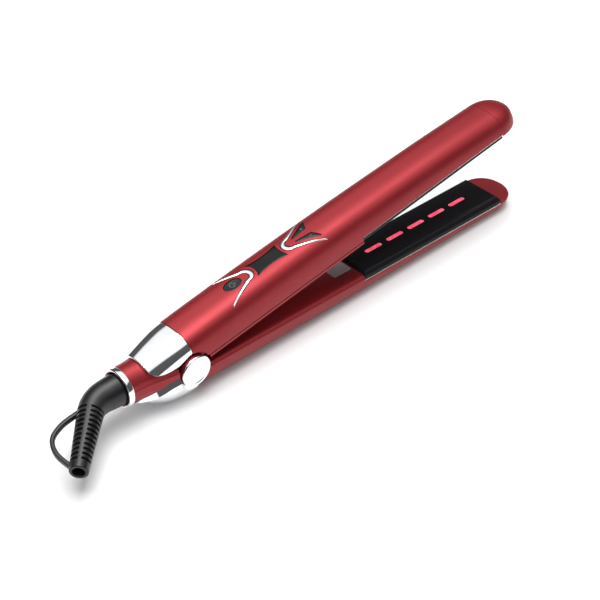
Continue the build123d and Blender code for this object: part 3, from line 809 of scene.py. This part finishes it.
# %% Window and buttons
TRIM_DEPTH = 0.85
KEY_DEPTH = 3.2
PANE_RIM = [(0.0, -0.22), (0.06, -0.1), (0.16, -0.03), (0.32, 0.0), (0.7, 0.01)]
points, faces = pad(hourglass(), WINDOW_CENTRE, PANE_RIM, TRIM_DEPTH)
add_piece("display_pane", upper_board(points), faces, "upper_arm", GLASS,
          ["display_window"])

DISHED = [(0.0, -0.35), (0.07, -0.22), (0.2, -0.15), (0.45, -0.14), (0.9, -0.19), (1.4, -0.24)]
points, faces = pad(oval(*POWER_HALF, POWER_X), POWER_CENTRE, DISHED, KEY_DEPTH)
add_piece("power_key", upper_board(points), faces, "power_button", BUTTON,
          ["power_button"])
FLAT_KEY = [(0.0, -0.35), (0.06, -0.22), (0.16, -0.15), (0.3, -0.13)]
for name, side in (("plus", 1), ("minus", -1)):
    outline = blade(side)
    points, faces = pad(outline, outline.mean(0), FLAT_KEY, KEY_DEPTH)
    add_piece(f"{name}_key", upper_board(points), faces, f"{name}_button", BUTTON,
              [f"{name}_button"])
print("keys and pane made")

# %% Chevron trims
CROWN = [(0.0, -0.1), (0.06, 0.08), (0.22, 0.22), (0.5, 0.29), (0.78, 0.22), (0.94, 0.08),
         (1.0, -0.1)]
for name, apex, sign in (("rear", REAR_APEX, 1), ("front", FRONT_APEX, -1)):
    points, faces = stroke(chevron_edges(apex, sign), CROWN, TRIM_DEPTH)
    add_piece(f"{name}_chevron", upper_board(points), faces, "upper_arm", CHROME,
              [f"{name}_chevron_trim"], sharp=50)
print("chevrons made")

# %% [markdown]
# ## Printed marks
#
# The keys carry the usual signs: a ring with a bar for on and off, a plus and a minus. They are
# thin pads of grey paint. A texture would need an unwrap and would blur, and at this size a few
# hundred faces do the job.

# %% Signs on the keys
def ribbon(points, width, rise, thick=0.05):
    """A thin flat bar along a line of (x, y) points on the casing."""
    line = np.asarray(points, float)
    ahead = np.gradient(line, axis=0)
    normal = np.stack([-ahead[:, 1], ahead[:, 0]], 1) / np.hypot(*ahead.T)[:, None]
    left, right = line + normal * width / 2, line - normal * width / 2
    return bar([on_top(left, rise - thick), on_top(right, rise - thick),
                on_top(right, rise), on_top(left, rise)])


def sign(name, lines, width, rise, body):
    points, faces = merged([ribbon(line, width, rise) for line in lines])
    add_piece(name, upper_board(points), faces, body, MARK, ())


SIGN_R = 1.5
SIGN_X = 90.6
SIGN_Y = 3.6
SIGN_ARM = 0.8
CROSSING = 0.17
ring_angles = np.radians(np.linspace(40, 320, 40))
power_ring = np.stack([POWER_X + SIGN_R * np.cos(ring_angles), SIGN_R * np.sin(ring_angles)], 1)
power_bar = np.linspace((POWER_X + 0.3, 0.0), (POWER_X + 2.1, 0.0), 4)
sign("power_sign", [power_ring, power_bar], 0.34, -0.19, "power_button")
for name, side in (("plus", 1), ("minus", -1)):
    y = SIGN_Y * side
    x0, x1 = SIGN_X - SIGN_ARM, SIGN_X + SIGN_ARM
    lines = [np.linspace((x0, y), (x1, y), 4)]
    if side > 0:
        lines = [np.linspace((SIGN_X, y - SIGN_ARM), (SIGN_X, y + SIGN_ARM), 4),
                 np.linspace((x0, y), (SIGN_X - CROSSING, y), 3),
                 np.linspace((SIGN_X + CROSSING, y), (x1, y), 3)]
    sign(f"{name}_sign", lines, 0.3, -0.09, f"{name}_button")
print("signs made")

# %% [markdown]
# ## Tips
#
# Each arm ends in a separate heat-proof nose, lacquered like the casing. It follows the same arch,
# but its plan closes in a superellipse, squarer than an ellipse, while the arch sinks. It is a
# solid plug with a flat underside, so a loop is the arch plus its floor, with a rounded corner
# between them.

# %% Tips
def solid_loop(x, shape, low, inset, lip, count):
    half_width, height, power = shape
    top = height - inset
    side_low = min(low + lip, top * 0.8)
    over = arch(max(half_width - inset, 0.05), top, power, side_low, count)
    drop = side_low - (side_low - low) * np.sin(LIP_TURNS)
    pull = min(lip, abs(over[0, 0]) * 0.5) * (1 - np.cos(LIP_TURNS))
    near = np.stack([over[-1, 0] + pull, drop], 1)
    far = np.stack([over[0, 0] - pull, drop], 1)[::-1]
    under_y = np.linspace(near[-1, 0], far[0, 0], 11)[1:-1]
    under = np.stack([under_y, np.full(len(under_y), low)], 1)
    loop = np.vstack([over, near, under, far])
    return np.column_stack([np.full(len(loop), x), loop])


def nose(arm, low, lip=0.7, count=84):
    tip_x = arm[1]
    reach = tip_x - ROUND_TIP_X
    rows = []
    for a in END_TURNS[::-1]:
        rows.append((TIP_CAP_X + SEAM_ROUND * (1 - math.sin(a)), SEAM_ROUND * (1 - math.cos(a))))
    start = math.asin((TIP_CAP_X + 0.4 - ROUND_TIP_X) / reach)
    for a in np.linspace(start, math.radians(88.5), 30):
        rows.append((ROUND_TIP_X + reach * math.sin(a), 0.0))
    return tube([solid_loop(x, arm_at(arm, x), low, inset, lip, count) for x, inset in rows])


TIP_FACE_Z = 3.6
points, faces = nose(UPPER_ARM, TIP_FACE_Z)
add_piece("upper_nose", upper_board(points), faces, "upper_arm", RED,
          ["upper_tip_cap"])
points, faces = nose(LOWER_ARM, TIP_FACE_Z)
add_piece("lower_nose", lower_board(resting(points)), faces, "lower_arm", RED,
          ["lower_tip_cap"])
print("tips made")

# %% [markdown]
# ## Lower casing
#
# The lower arm is the same arch, upside down. It carries the hinge ears, two round cheeks that
# take the pin, and its belly is flat where the iron rests on the table. The ears are turned like
# washers and sit in the same object as the shell, since the real ones are moulded with it.

# %% Lower casing with its hinge ears
EAR_R = 8.2
EAR_Y = (11.0, 14.05)
PIN_R = 2.0
lower_xs = even_steps(-8.8, PLATE_X0 - 0.3, 1.2) + plate_xs
points, faces = shell(LOWER_ARM, lower_xs, arm_seam, WALL, end_round=SEAM_ROUND)
solids = [(resting(points), faces)]
y0, y1 = EAR_Y
ear_profile = [(y0, PIN_R), (y1, PIN_R), (y1, EAR_R - 0.3), (y1 - 0.1, EAR_R - 0.1),
               (y1 - 0.3, EAR_R), (y0 + 0.3, EAR_R), (y0 + 0.1, EAR_R - 0.1), (y0, EAR_R - 0.3)]
for side in (1, -1):
    solids.append(spun(np.array(ear_profile) * (side, 1), "y", 72))
points, faces = merged(solids)
lower_casing = add_piece("lower_casing", lower_board(points), faces, "lower_arm", RED,
                         ["lower_outer_shell"])
print("lower casing:", len(lower_casing.data.polygons), "faces")

# %% [markdown]
# ## Inner face of the lower arm
#
# A tray closes the inner side of the lower arm behind its plate. Its long edges are rolled over, and
# on the satin lacquer that roll draws a brighter line along the arm. The tray is a row of closed
# sections: flat face, rolled edges, flat back. A ring of six vents, the bed of the rating plate and
# a hole for the main spring are cut into it, and a turned cup behind that hole seats the spring.

# %% Tray with rolled edges
INNER_X0 = 10.2
TRAY_Z = 1.1
TRAY_BACK_Z = 2.55
ROLL_WIDTH = 3.4
TRAY_WALL = 0.9
VENT_X = 59.0
VENT_RING_R = 3.8
VENT_R = 0.65
SPRING_X = 24.0
SPRING_HOLE_R = 3.9
CUP_PROFILE = [(3.5, 3.92), (3.5, 4.8), (7.3, 4.8), (7.3, 0.02), (6.55, 0.02), (6.55, 3.92)]
LABEL_X = (103.2, 115.4)
LABEL_HALF = 4.75
LABEL_CORNER = 0.7
LABEL_GAP = 0.1
HOLE_DEPTH = 4.0
VENT_DEPTH = 1.9
LABEL_DEPTH = 1.45


def tray_section(x, shrink):
    half_width = arm_at(LOWER_ARM, x)[0] - 0.04 - shrink
    turns = np.radians(np.linspace(0, 90, 13))
    roll_y = half_width - ROLL_WIDTH * (1 - np.cos(turns))
    roll_z = TRAY_BACK_Z - (TRAY_BACK_Z - TRAY_Z - shrink) * np.sin(turns)
    near = np.stack([-roll_y, roll_z], 1)
    far = np.stack([roll_y, roll_z], 1)[::-1]
    back = [(half_width * share, TRAY_BACK_Z + TRAY_WALL) for share in (0.93, 0.4, -0.4, -0.93)]
    loop = np.vstack([near, far, back])
    return np.column_stack([np.full(len(loop), x), loop])


def post(outline, z0, z1):
    """A closed upright solid over a flat outline."""
    return tube([np.column_stack([outline, np.full(len(outline), z)]) for z in (z0, z1)])


def label_outline(gap):
    """Outline of the rating plate, grown by gap."""
    x0, x1 = LABEL_X[0] - gap, LABEL_X[1] + gap
    y = LABEL_HALF + gap
    return rounded_corners([(x0, -y), (x1, -y), (x1, y), (x0, y)], LABEL_CORNER + gap)


print("tray is", round(2 * float(arm_at(LOWER_ARM, 60.0)[0]), 1), "mm wide")

# %% The tray, its cup and its holes
tray_rows = [(INNER_X0, 0.2), (INNER_X0 + 0.06, 0.06), (INNER_X0 + 0.2, 0.0)]
tray_rows += [(x, 0.0) for x in even_steps(INNER_X0 + 1.4, PLATE_X0 - 1.2, 1.6)]
tray_rows += [(PLATE_X0 - 0.3, 0.0), (PLATE_X0 - 0.16, 0.06), (PLATE_X0 - 0.1, 0.2)]
points, faces = tube([tray_section(x, shrink) for x, shrink in tray_rows])
cup_points, cup_faces = spun(CUP_PROFILE, "z", 48)
points, faces = merged([(points, faces), (cup_points + (SPRING_X, 0, 0), cup_faces)])
tray = add_piece("lower_tray", lower_board(flipped(points)), faces, "lower_arm", RED,
                 ["lower_inner_shell"])
holes = [post(oval(SPRING_HOLE_R, SPRING_HOLE_R, SPRING_X, 40), 0.0, -HOLE_DEPTH)]
for turn in np.radians(np.arange(30, 390, 60)):
    vent = oval(VENT_R, VENT_R, VENT_X + VENT_RING_R * math.cos(turn), 24)
    holes.append(post(vent + (0, VENT_RING_R * math.sin(turn)), 0.0, -VENT_DEPTH))
holes.append(post(label_outline(LABEL_GAP), 0.0, -LABEL_DEPTH))
carved(tray, holes, lower_board)
print("tray:", len(tray.data.polygons), "faces")

# %% [markdown]
# ## Chrome rear cap
#
# Behind the casing, the upper arm ends in a bullet of chrome. Its rim swings down from the tail,
# runs back up and curls round the hinge disc. Since a mirror shows every dent, it is drawn with
# the same smooth arch in close rows, and only its lower limit changes from row to row.

# %% Rear cap
CAP_X1 = 1.2
CAP_WALL = 1.2
CAP_BLEND = 0.6
cap_rim_open = [(-25.35, 12.6), (-25.2, 11.0), (-24.8, 9.3), (-23.6, 7.4), (-21.8, 6.1),
                (-19.0, 5.5), (-15.0, 5.6), (-11.0, 6.2), (-8.0, 6.8), (-4.0, 8.0), (2.0, 9.4)]
cap_rim = turned([(x, 0, z) for x, z in cap_rim_open], OPEN_ANGLE)[:, [0, 2]]


def smooth_line(knots, x):
    return float(blended(np.asarray(knots), x)[0])


def cap_low(x):
    """The higher of rim and hinge relief, with a soft change between them."""
    rim = smooth_line(cap_rim, x)
    relief = circle_height(RELIEF_R, x)
    return (rim + relief + math.sqrt((rim - relief) ** 2 + CAP_BLEND)) / 2


cap_start = float(cap_rim[0, 0]) + 0.02
cap_xs = [cap_start + (CAP_X1 - cap_start) * (1 - math.cos(a))
          for a in np.linspace(0, math.pi / 2, 64)]
points, faces = shell(UPPER_ARM, cap_xs, cap_low, CAP_WALL, lip=0.45, end_round=0.4, count=96)
add_piece("rear_cap", upper_board(points), faces, "upper_arm", CHROME,
          ["chrome_rear_cap"])
print("rear cap from x =", round(cap_start, 1), "to", CAP_X1)

# %% [markdown]
# ## Chrome heel
#
# The heel is a chrome shoe under the hinge. It hugs the tail, bulges below it, and its upper edge
# leans in over a narrow facet that mirrors the horizon as a dark lens. The shoe is a wall between
# two arches: the casing it sits on, and its own. Near its upper edge the outer arch is drawn in
# towards the inner one, which makes the facet.

# %% Heel outlines
HEEL_X = (-31.0, 2.5)
HEEL_ROUND = 0.5
HEEL_STATIONS = np.array([
    (HEEL_X[0], 10.35, 10.6, 2.0),
    (-26.0, 11.6, 13.5, 2.1),
    (-19.5, 13.3, 16.6, 2.3),
    (-12.5, 14.7, 18.6, 2.5),
    (-5.0, 15.1, 19.45, 2.6),
    (HEEL_X[1], 15.0, 19.3, 2.7),
])
TAIL_CORE = np.array([
    (-34.0, 10.2, 10.2, 2.0),
    (-27.0, 10.3, 10.4, 2.0),
    (-21.0, 11.3, 11.9, 2.2),
    (-14.5, 12.7, 13.8, 2.45),
    (-9.0, 13.7, 15.3, 2.7),
    (2.0, 14.2, 16.2, 3.0),
    (20.0, 14.3, 16.4, 3.0),
])
HEEL_TOP = np.array([(HEEL_X[0], 7.5), (-30.0, 7.0), (-25.5, 5.6), (-20.0, 3.4), (-14.5, 1.2),
                     (-10.5, 0.6), (-6.0, 0.5), (6.0, 0.5)])
DISC_CLEAR_R = 8.95
FACET = 2.8
FACET_SHARES = (0.33, 0.67, 0.97)


def heel_low(x):
    """How far below the pin the upper edge of the heel lies."""
    return max(smooth_line(HEEL_TOP, x), circle_height(DISC_CLEAR_R, x))


def heel_row(x, inset, count=96):
    """Outer arch down to the crease, a flat facet up to the casing, and back along the inside."""
    shape = blended(HEEL_STATIONS, x)
    core = blended(TAIL_CORE, x)
    low = min(heel_low(x), core[1] * 0.8)
    facet = min(FACET, 0.12 * shape[1] + 0.02 * (x - HEEL_X[0]) ** 2)
    outer = arch(shape[0] - inset, shape[1] - inset, shape[2], low + facet, count)
    steps = len(FACET_SHARES)
    inner = arch(core[0] + 0.02, core[1] + 0.02, core[2], low, count + 2 * steps)
    shares = np.array(FACET_SHARES)[:, None]
    near = outer[-1] * (1 - shares) + inner[-1] * shares
    far = (outer[0] * (1 - shares) + inner[0] * shares)[::-1]
    loop = np.vstack([far, outer, near, inner[::-1]])
    return np.column_stack([np.full(len(loop), x), loop])


print("upper edge of the heel under the pin:", round(heel_low(0.0), 2), "mm down")

# %% Heel mesh
heel_rows = [(HEEL_X[0], 0.0)]
heel_rows += [(x, 0.0) for x in even_steps(HEEL_X[0] + 0.4, HEEL_X[1] - HEEL_ROUND, 0.5)]
heel_rows += [(HEEL_X[1] - HEEL_ROUND * (1 - math.sin(a)), HEEL_ROUND * (1 - math.cos(a)))
              for a in LIP_TURNS]
rows = [heel_row(x, inset) for x, inset in heel_rows]
total = len(rows[0])
faces = joined_rows(len(rows), total)
for start, step in ((0, 1), ((len(rows) - 1) * total, -1)):
    for i in range(total // 2 - 1):
        faces.append((start + i, start + i + 1, start + total - 2 - i, start + total - 1 - i)[::step])
heel = add_piece("heel", lower_board(resting(np.vstack(rows))), faces, "lower_arm", CHROME,
                 ["chrome_heel_trim"], sharp=16)
print("heel:", len(heel.data.polygons), "faces")

# %% [markdown]
# ## Turned parts: hinge discs and tail ring
#
# These are lathe work, so they are spun from a profile: the discs about the pin, the ring about
# the swivel. A disc is dished, with a raised rim whose inner slope throws a thin dark crescent.

# %% Discs and ring
DISC_PROFILE = [(15.12, 0.02), (15.14, 2.0), (15.2, 4.0), (15.32, 5.8), (15.46, 6.5),
                (15.74, 6.95), (15.9, 7.3), (15.95, 7.65), (15.93, 8.0), (15.82, 8.3),
                (15.6, 8.52), (15.3, 8.63), (14.8, 8.65), (14.5, 8.55), (14.36, 8.35),
                (14.35, 2.1), (14.9, 2.05), (14.9, 0.02)]
for name, side in (("far", 1), ("near", -1)):
    points, faces = spun(np.array(DISC_PROFILE) * (side, 1), "y")
    add_piece(f"disc_{name}", lower_board(points), faces, "lower_arm", CHROME,
              [f"hinge_disc_{name}"], sharp=60)

RING_PROFILE = [(-37.2, 9.6), (-37.12, 9.95), (-36.9, 10.25), (-36.6, 10.42), (-36.2, 10.45),
                (-34.5, 10.45), (-34.2, 10.4), (-34.05, 10.25), (-34.02, 10.0), (-34.02, 9.25),
                (-36.6, 9.2), (-37.0, 9.3)]
points, faces = spun(RING_PROFILE, "x")
add_piece("swivel_ring", lower_board(points), faces, "lower_arm", CHROME,
          ["tail_ring"], sharp=60)
print("discs and ring made")

# %% [markdown]
# ## Cord boot
#
# The boot turns in the tail and bends down to one side. Two rows of slots on either side of a
# spine let it flex. A Boolean with 48 small blocks would be slow and leave messy faces, so the
# boot is one tube of rings whose rows and columns are placed on the slot edges, and the rings are
# simply narrower inside a slot. Its end stays open: a socket for a cord, which is not fitted.

# %% Route of the boot
SWIVEL_X = -36.8
BOOT_CORNER = np.array([-51.7, 0.0, 0.0])
BOOT_END = np.array([-82.2, -28.8, -5.7])
BEND_R = 18.0
SOCKET_R = 3.1
SOCKET_DEPTH = 12.0
SLOT_DEPTH = 1.3
SLOT_COUNT = 12
SLOT_PITCH = 2.75
LAST_SLOT = 5.0
SLOT_HALF = 0.55
SLOT_OFFSETS = (-0.78, -0.66, -0.5, 0.0, 0.5, 0.66, 0.78)
# Radius at the swivel, at the neck and at the end, and where along the boot the neck is.
BOOT_R = (8.3, 6.55, 4.7)
NECK_SHARE = 0.36
boot_axis = (BOOT_END - BOOT_CORNER) / np.linalg.norm(BOOT_END - BOOT_CORNER)
back = np.array([-1.0, 0.0, 0.0])
bend = math.acos(float(back @ boot_axis))
reach = BEND_R * math.tan(bend / 2)
straight_in = abs(BOOT_CORNER[0] - SWIVEL_X) - reach
straight_out = float(np.linalg.norm(BOOT_END - BOOT_CORNER)) - reach
boot_length = straight_in + BEND_R * bend + straight_out
inwards = boot_axis - back * float(back @ boot_axis)
inwards /= np.linalg.norm(inwards)


def boot_spine(s):
    """Place and direction at a distance s from the swivel."""
    if s <= straight_in:
        return np.array([SWIVEL_X, 0, 0]) + back * s, back
    if s <= straight_in + BEND_R * bend:
        a = (s - straight_in) / BEND_R
        start = np.array([SWIVEL_X, 0, 0]) + back * straight_in
        place_at = start + BEND_R * (back * math.sin(a) + inwards * (1 - math.cos(a)))
        return place_at, back * math.cos(a) + inwards * math.sin(a)
    left = boot_length - s
    return BOOT_END - boot_axis * left, boot_axis


def boot_radius(share):
    root, neck, end = BOOT_R
    if share < NECK_SHARE:
        return root - (root - neck) * (share / NECK_SHARE) ** 1.4
    return neck - (neck - end) * (share - NECK_SHARE) / (1 - NECK_SHARE)


print("boot length", round(boot_length, 1), "mm")

# %% Rings and columns of the boot
slot_middles = [boot_length - (LAST_SLOT + SLOT_PITCH * i) for i in range(SLOT_COUNT)][::-1]
ring_places = set(np.round(even_steps(0.6, slot_middles[0] - 1.2, 0.9), 3))
for middle in slot_middles:
    for offset in SLOT_OFFSETS:
        ring_places.add(round(middle + offset, 3))
ring_places.update(np.round(even_steps(slot_middles[-1] + 1.2, boot_length - 0.7, 0.7), 3))
column_turns = []
for quarter in range(4):
    for degrees in (0, 5, 9.4, 11.4, 14, 22, 30, 38, 45, 52, 60, 68, 76, 78.6, 80.6, 85):
        column_turns.append(math.radians(90 * quarter + degrees))
columns = np.array(column_turns)
in_wedge = (np.degrees(columns) % 90 > 10.5) & (np.degrees(columns) % 90 < 79.5)
print(len(ring_places), "rings of", len(columns), "points")

# %% Boot mesh
def boot_ring(s, radius, slotted=False):
    place_at, ahead = boot_spine(s)
    side = np.cross((0, 0, 1), ahead)
    side /= np.linalg.norm(side)
    up = np.cross(ahead, side)
    radii = np.where(in_wedge & slotted, radius - SLOT_DEPTH, radius)
    return place_at + radii[:, None] * (np.cos(columns)[:, None] * side
                                        + np.sin(columns)[:, None] * up)


rings = [boot_ring(0.0, 7.4), boot_ring(0.0, 7.95), boot_ring(0.2, 8.2)]
for s in sorted(ring_places):
    slotted = any(abs(s - middle) < SLOT_HALF for middle in slot_middles)
    rings.append(boot_ring(s, boot_radius(s / boot_length), slotted))
end_radius = boot_radius(1.0)
for s_back, pull in ((0.45, 0.02), (0.2, 0.14), (0.05, 0.36), (0.0, 0.65)):
    rings.append(boot_ring(boot_length - s_back, end_radius - pull))
rings += [boot_ring(boot_length, SOCKET_R + 0.35), boot_ring(boot_length - 0.1, SOCKET_R + 0.1),
          boot_ring(boot_length - 0.4, SOCKET_R), boot_ring(boot_length - SOCKET_DEPTH, SOCKET_R)]
count = len(columns)
faces = joined_rows(len(rings), count)
socket_floor = boot_spine(boot_length - SOCKET_DEPTH)[0]
points = np.vstack(rings + [boot_spine(0.0)[0][None], socket_floor[None]])
front_hub, socket_hub = len(points) - 2, len(points) - 1
last = (len(rings) - 1) * count
for i in range(count):
    j = (i + 1) % count
    faces.append((j, i, front_hub))
    faces.append((last + i, last + j, socket_hub))
boot = add_piece("rubber_boot", lower_board(points), faces, "cord_swivel", RUBBER,
                 ["cord_boot"], sharp=40)
print("boot:", len(boot.data.polygons), "faces")

# %% [markdown]
# ## Hang loop
#
# A flat strap of the same rubber leaves the boot near its bend and joins it again near its end, so
# the iron can hang on a hook. It is swept along a smooth curve through five points, with a section
# rounded at its four edges.

# %% Loop
LOOP_HALF = (1.6, 1.2)
LOOP_SQUARENESS = 0.55
LOOP_KNOTS = [(5.6, 4.6), (16.0, 12.8), (24.0, 15.2), (32.0, 12.2), (40.2, 3.2)]
loop_side = -np.cross((0, 0, 1), boot_axis)
loop_side /= np.linalg.norm(loop_side)
knots = np.array([BOOT_CORNER + boot_axis * s + loop_side * m for s, m in LOOP_KNOTS])
knot_runs = np.concatenate([[0], np.cumsum(np.linalg.norm(np.diff(knots, axis=0), axis=1))])
table_of_knots = np.column_stack([knot_runs, knots])
loop_line = np.array([blended(table_of_knots, s) for s in np.linspace(0, knot_runs[-1], 61)])
loop_ahead = np.gradient(loop_line, axis=0)
loop_ahead /= np.linalg.norm(loop_ahead, axis=1)[:, None]
flat_axis = np.cross(boot_axis, loop_side)
section = []
for a in np.linspace(0, 2 * math.pi, 20, endpoint=False):
    c, s = math.cos(a), math.sin(a)
    wide = math.copysign(abs(c) ** LOOP_SQUARENESS, c) * LOOP_HALF[0]
    thin = math.copysign(abs(s) ** LOOP_SQUARENESS, s) * LOOP_HALF[1]
    section.append((wide, thin))
rings = []
for middle, ahead in zip(loop_line, loop_ahead):
    across = np.cross(ahead, flat_axis)
    rings.append(np.array([middle + flat_axis * wide + across * thin for wide, thin in section]))
points, faces = tube(rings)
add_piece("hanging_loop", lower_board(points), faces, "cord_swivel", RUBBER,
          ["hang_loop"])
print("loop:", round(float(knot_runs[-1]), 1), "mm of strap")

# %% [markdown]
# ## Blank rating plate
#
# A thin foil lies in a shallow bed behind the lower plate. The real one carries print, which has
# no place in a reusable part, so this one is blank, with rounded corners and a pressed border.

# %% Foil plate
# How far each ring is drawn in, and how deep it lies below the plates' plane.
FOIL_RINGS = [(0.0, TRAY_Z + 0.3), (0.0, TRAY_Z + 0.02), (0.12, TRAY_Z - 0.05),
              (0.4, TRAY_Z - 0.05), (0.52, TRAY_Z + 0.02)]
outline = label_outline(0.0)
rings = [np.column_stack([grown(outline, -shrink), np.full(len(outline), -z)])
         for shrink, z in FOIL_RINGS]
points, faces = tube(rings)
add_piece("blank_foil", lower_board(points), faces, "lower_arm", FOIL,
          ["blank_rating_plate"])
print("foil plate made")

# %% [markdown]
# ## Finishes for the CAD pieces that stay
#
# The rest of the model keeps its CAD shape: hot plates, the upper inner casing, the tail housing,
# carriers, springs, boards and leads. They are exact already, so they only need their finish.

# %% Dress the CAD nodes
NODE_FINISH = {
    "upper_inner_shell": RED, "tail_housing": RED,
    "lower_heating_plate": CERAMIC, "upper_heating_plate": CERAMIC, "glow_lenses": GLOW,
    "lower_plate_carrier": HEATPROOF, "upper_plate_carrier": HEATPROOF,
    "lower_plate_bezel": BEZEL, "upper_plate_bezel": BEZEL,
    "lower_plate_springs": STEEL, "upper_plate_springs": STEEL, "hinge_spring": STEEL,
    "lower_carrier_screws": STEEL, "upper_carrier_screws": STEEL, "hinge_pin": STEEL,
    "lower_heater_leads": SILICONE, "upper_heater_leads": SILICONE,
    "lower_ceramic_heaters": HEATER, "upper_ceramic_heaters": HEATER,
    "lower_thermal_fuse": TIN, "upper_thermistor": TIN,
    "glow_lamp_board": BOARD, "control_board": BOARD,
    "display_module": BODY, "tact_switches": BODY,
    "swivel_retainer": NYLON, "swivel_spigot": NYLON, "hinge_washers": NYLON,
}
for node, material in NODE_FINISH.items():
    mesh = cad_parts[node].data
    mesh.materials.clear()
    mesh.materials.append(material)
shown = [n for n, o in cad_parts.items() if not o.hide_render]
print(len(shown), "CAD nodes stay,", sorted(set(shown) - set(NODE_FINISH)), "without a finish")

# %% [markdown]
# ## Table, light and camera
#
# A product like this is shot on a white sweep under a big soft light. Chrome shows the whole room,
# so the room is drawn in the world shader by height above the horizon: bright overhead, dark just
# above the table, as where a real studio ends. One wide area light overhead then gives the long
# highlight on the shoulder and a shadow that hugs the table.

# %% Table
TABLE_HALF = 3.0
table_mesh = bpy.data.meshes.new("table")
table_mesh.from_pydata([(-TABLE_HALF, -TABLE_HALF, 0), (TABLE_HALF, -TABLE_HALF, 0),
                        (TABLE_HALF, TABLE_HALF, 0), (-TABLE_HALF, TABLE_HALF, 0)],
                       [], [(0, 1, 2, 3)])
table = bpy.data.objects.new("table", table_mesh)
bpy.context.scene.collection.objects.link(table)
paper, tree, shader = finish("white_paper", (0.8, 0.8, 0.8), 0.0, 0.85)
tree.links.new(spread_colour(tree, noise(tree, 12, 2.0), (0.80, 0.80, 0.80), (0.82, 0.82, 0.82)),
               shader.inputs["Base Color"])
shader.inputs["Specular IOR Level"].default_value = 0.1
shader.inputs["Emission Color"].default_value = (1, 1, 1, 1)
shader.inputs["Emission Strength"].default_value = 0.07
table_mesh.materials.append(paper)

# %% Room and light
world = bpy.data.worlds.new("studio")
bpy.context.scene.world = world
world.use_nodes = True
room = world.node_tree
room.nodes.clear()
where = room.nodes.new("ShaderNodeTexCoord")
split = room.nodes.new("ShaderNodeSeparateXYZ")
room.links.new(where.outputs["Generated"], split.inputs["Vector"])
walls = room.nodes.new("ShaderNodeValToRGB")
ramp = walls.color_ramp
ramp.elements[0].position = 0.0
ramp.elements[0].color = (0.5, 0.5, 0.5, 1)
ramp.elements[1].position = 1.0
ramp.elements[1].color = (1.35, 1.35, 1.35, 1)
for position, level in ((0.01, 0.09), (0.60, 0.10), (0.68, 0.95), (0.80, 1.12)):
    stop = ramp.elements.new(position)
    stop.color = (level, level * 1.01, level * 1.03, 1)
room.links.new(split.outputs["Z"], walls.inputs["Fac"])
seen = room.nodes.new("ShaderNodeLightPath")
backdrop = room.nodes.new("ShaderNodeMix")
backdrop.data_type = "RGBA"
room.links.new(seen.outputs["Is Camera Ray"], backdrop.inputs["Factor"])
room.links.new(walls.outputs["Color"], backdrop.inputs["A"])
backdrop.inputs["B"].default_value = (0.97, 0.97, 0.97, 1)
glow = room.nodes.new("ShaderNodeBackground")
room.links.new(backdrop.outputs["Result"], glow.inputs["Color"])
output = room.nodes.new("ShaderNodeOutputWorld")
room.links.new(glow.outputs["Background"], output.inputs["Surface"])


def soft_light(name, place_at, aim, size, power):
    data = bpy.data.lights.new(name, "AREA")
    data.shape = "RECTANGLE"
    data.size, data.size_y = size
    data.energy = power
    lamp = bpy.data.objects.new(name, data)
    bpy.context.scene.collection.objects.link(lamp)
    lamp.location = place_at
    lamp.rotation_euler = (Vector(aim) - Vector(place_at)).to_track_quat("-Z", "Y").to_euler()


soft_light("overhead", (-0.05, 0.05, 1.3), (0, 0, 0), (1.3, 0.8), 18)
print("room ready")

# %% Camera
LENS_MM = 102.048
SENSOR_MM = 36.0
CAMERA_POINT = (-399.0, -509.0, 532.8)
AZIMUTH = math.radians(43.43)
ELEVATION = math.radians(37.65)
ROLL = math.radians(0.83)
camera_place = lower_board([CAMERA_POINT])[0]
ahead = np.array([math.sin(AZIMUTH) * math.cos(ELEVATION),
                  math.cos(AZIMUTH) * math.cos(ELEVATION), -math.sin(ELEVATION)])
right = np.array([math.cos(AZIMUTH), -math.sin(AZIMUTH), 0.0])
above = np.cross(right, ahead)
c, s = math.cos(ROLL), math.sin(ROLL)
axes = turned([c * right + s * above, -s * right + c * above, -ahead], REST_TILT)
camera_data = bpy.data.cameras.new("camera")
camera_data.sensor_width = SENSOR_MM
camera_data.lens = LENS_MM
camera_data.clip_start, camera_data.clip_end = 0.01, 20.0
camera = bpy.data.objects.new("camera", camera_data)
bpy.context.scene.collection.objects.link(camera)
camera.matrix_world = (Matrix.Translation(Vector(camera_place))
                       @ Matrix(axes.T.tolist()).to_4x4())
bpy.context.scene.camera = camera
bpy.context.scene.view_settings.view_transform = "Standard"
print("camera at", camera_place.round(3))
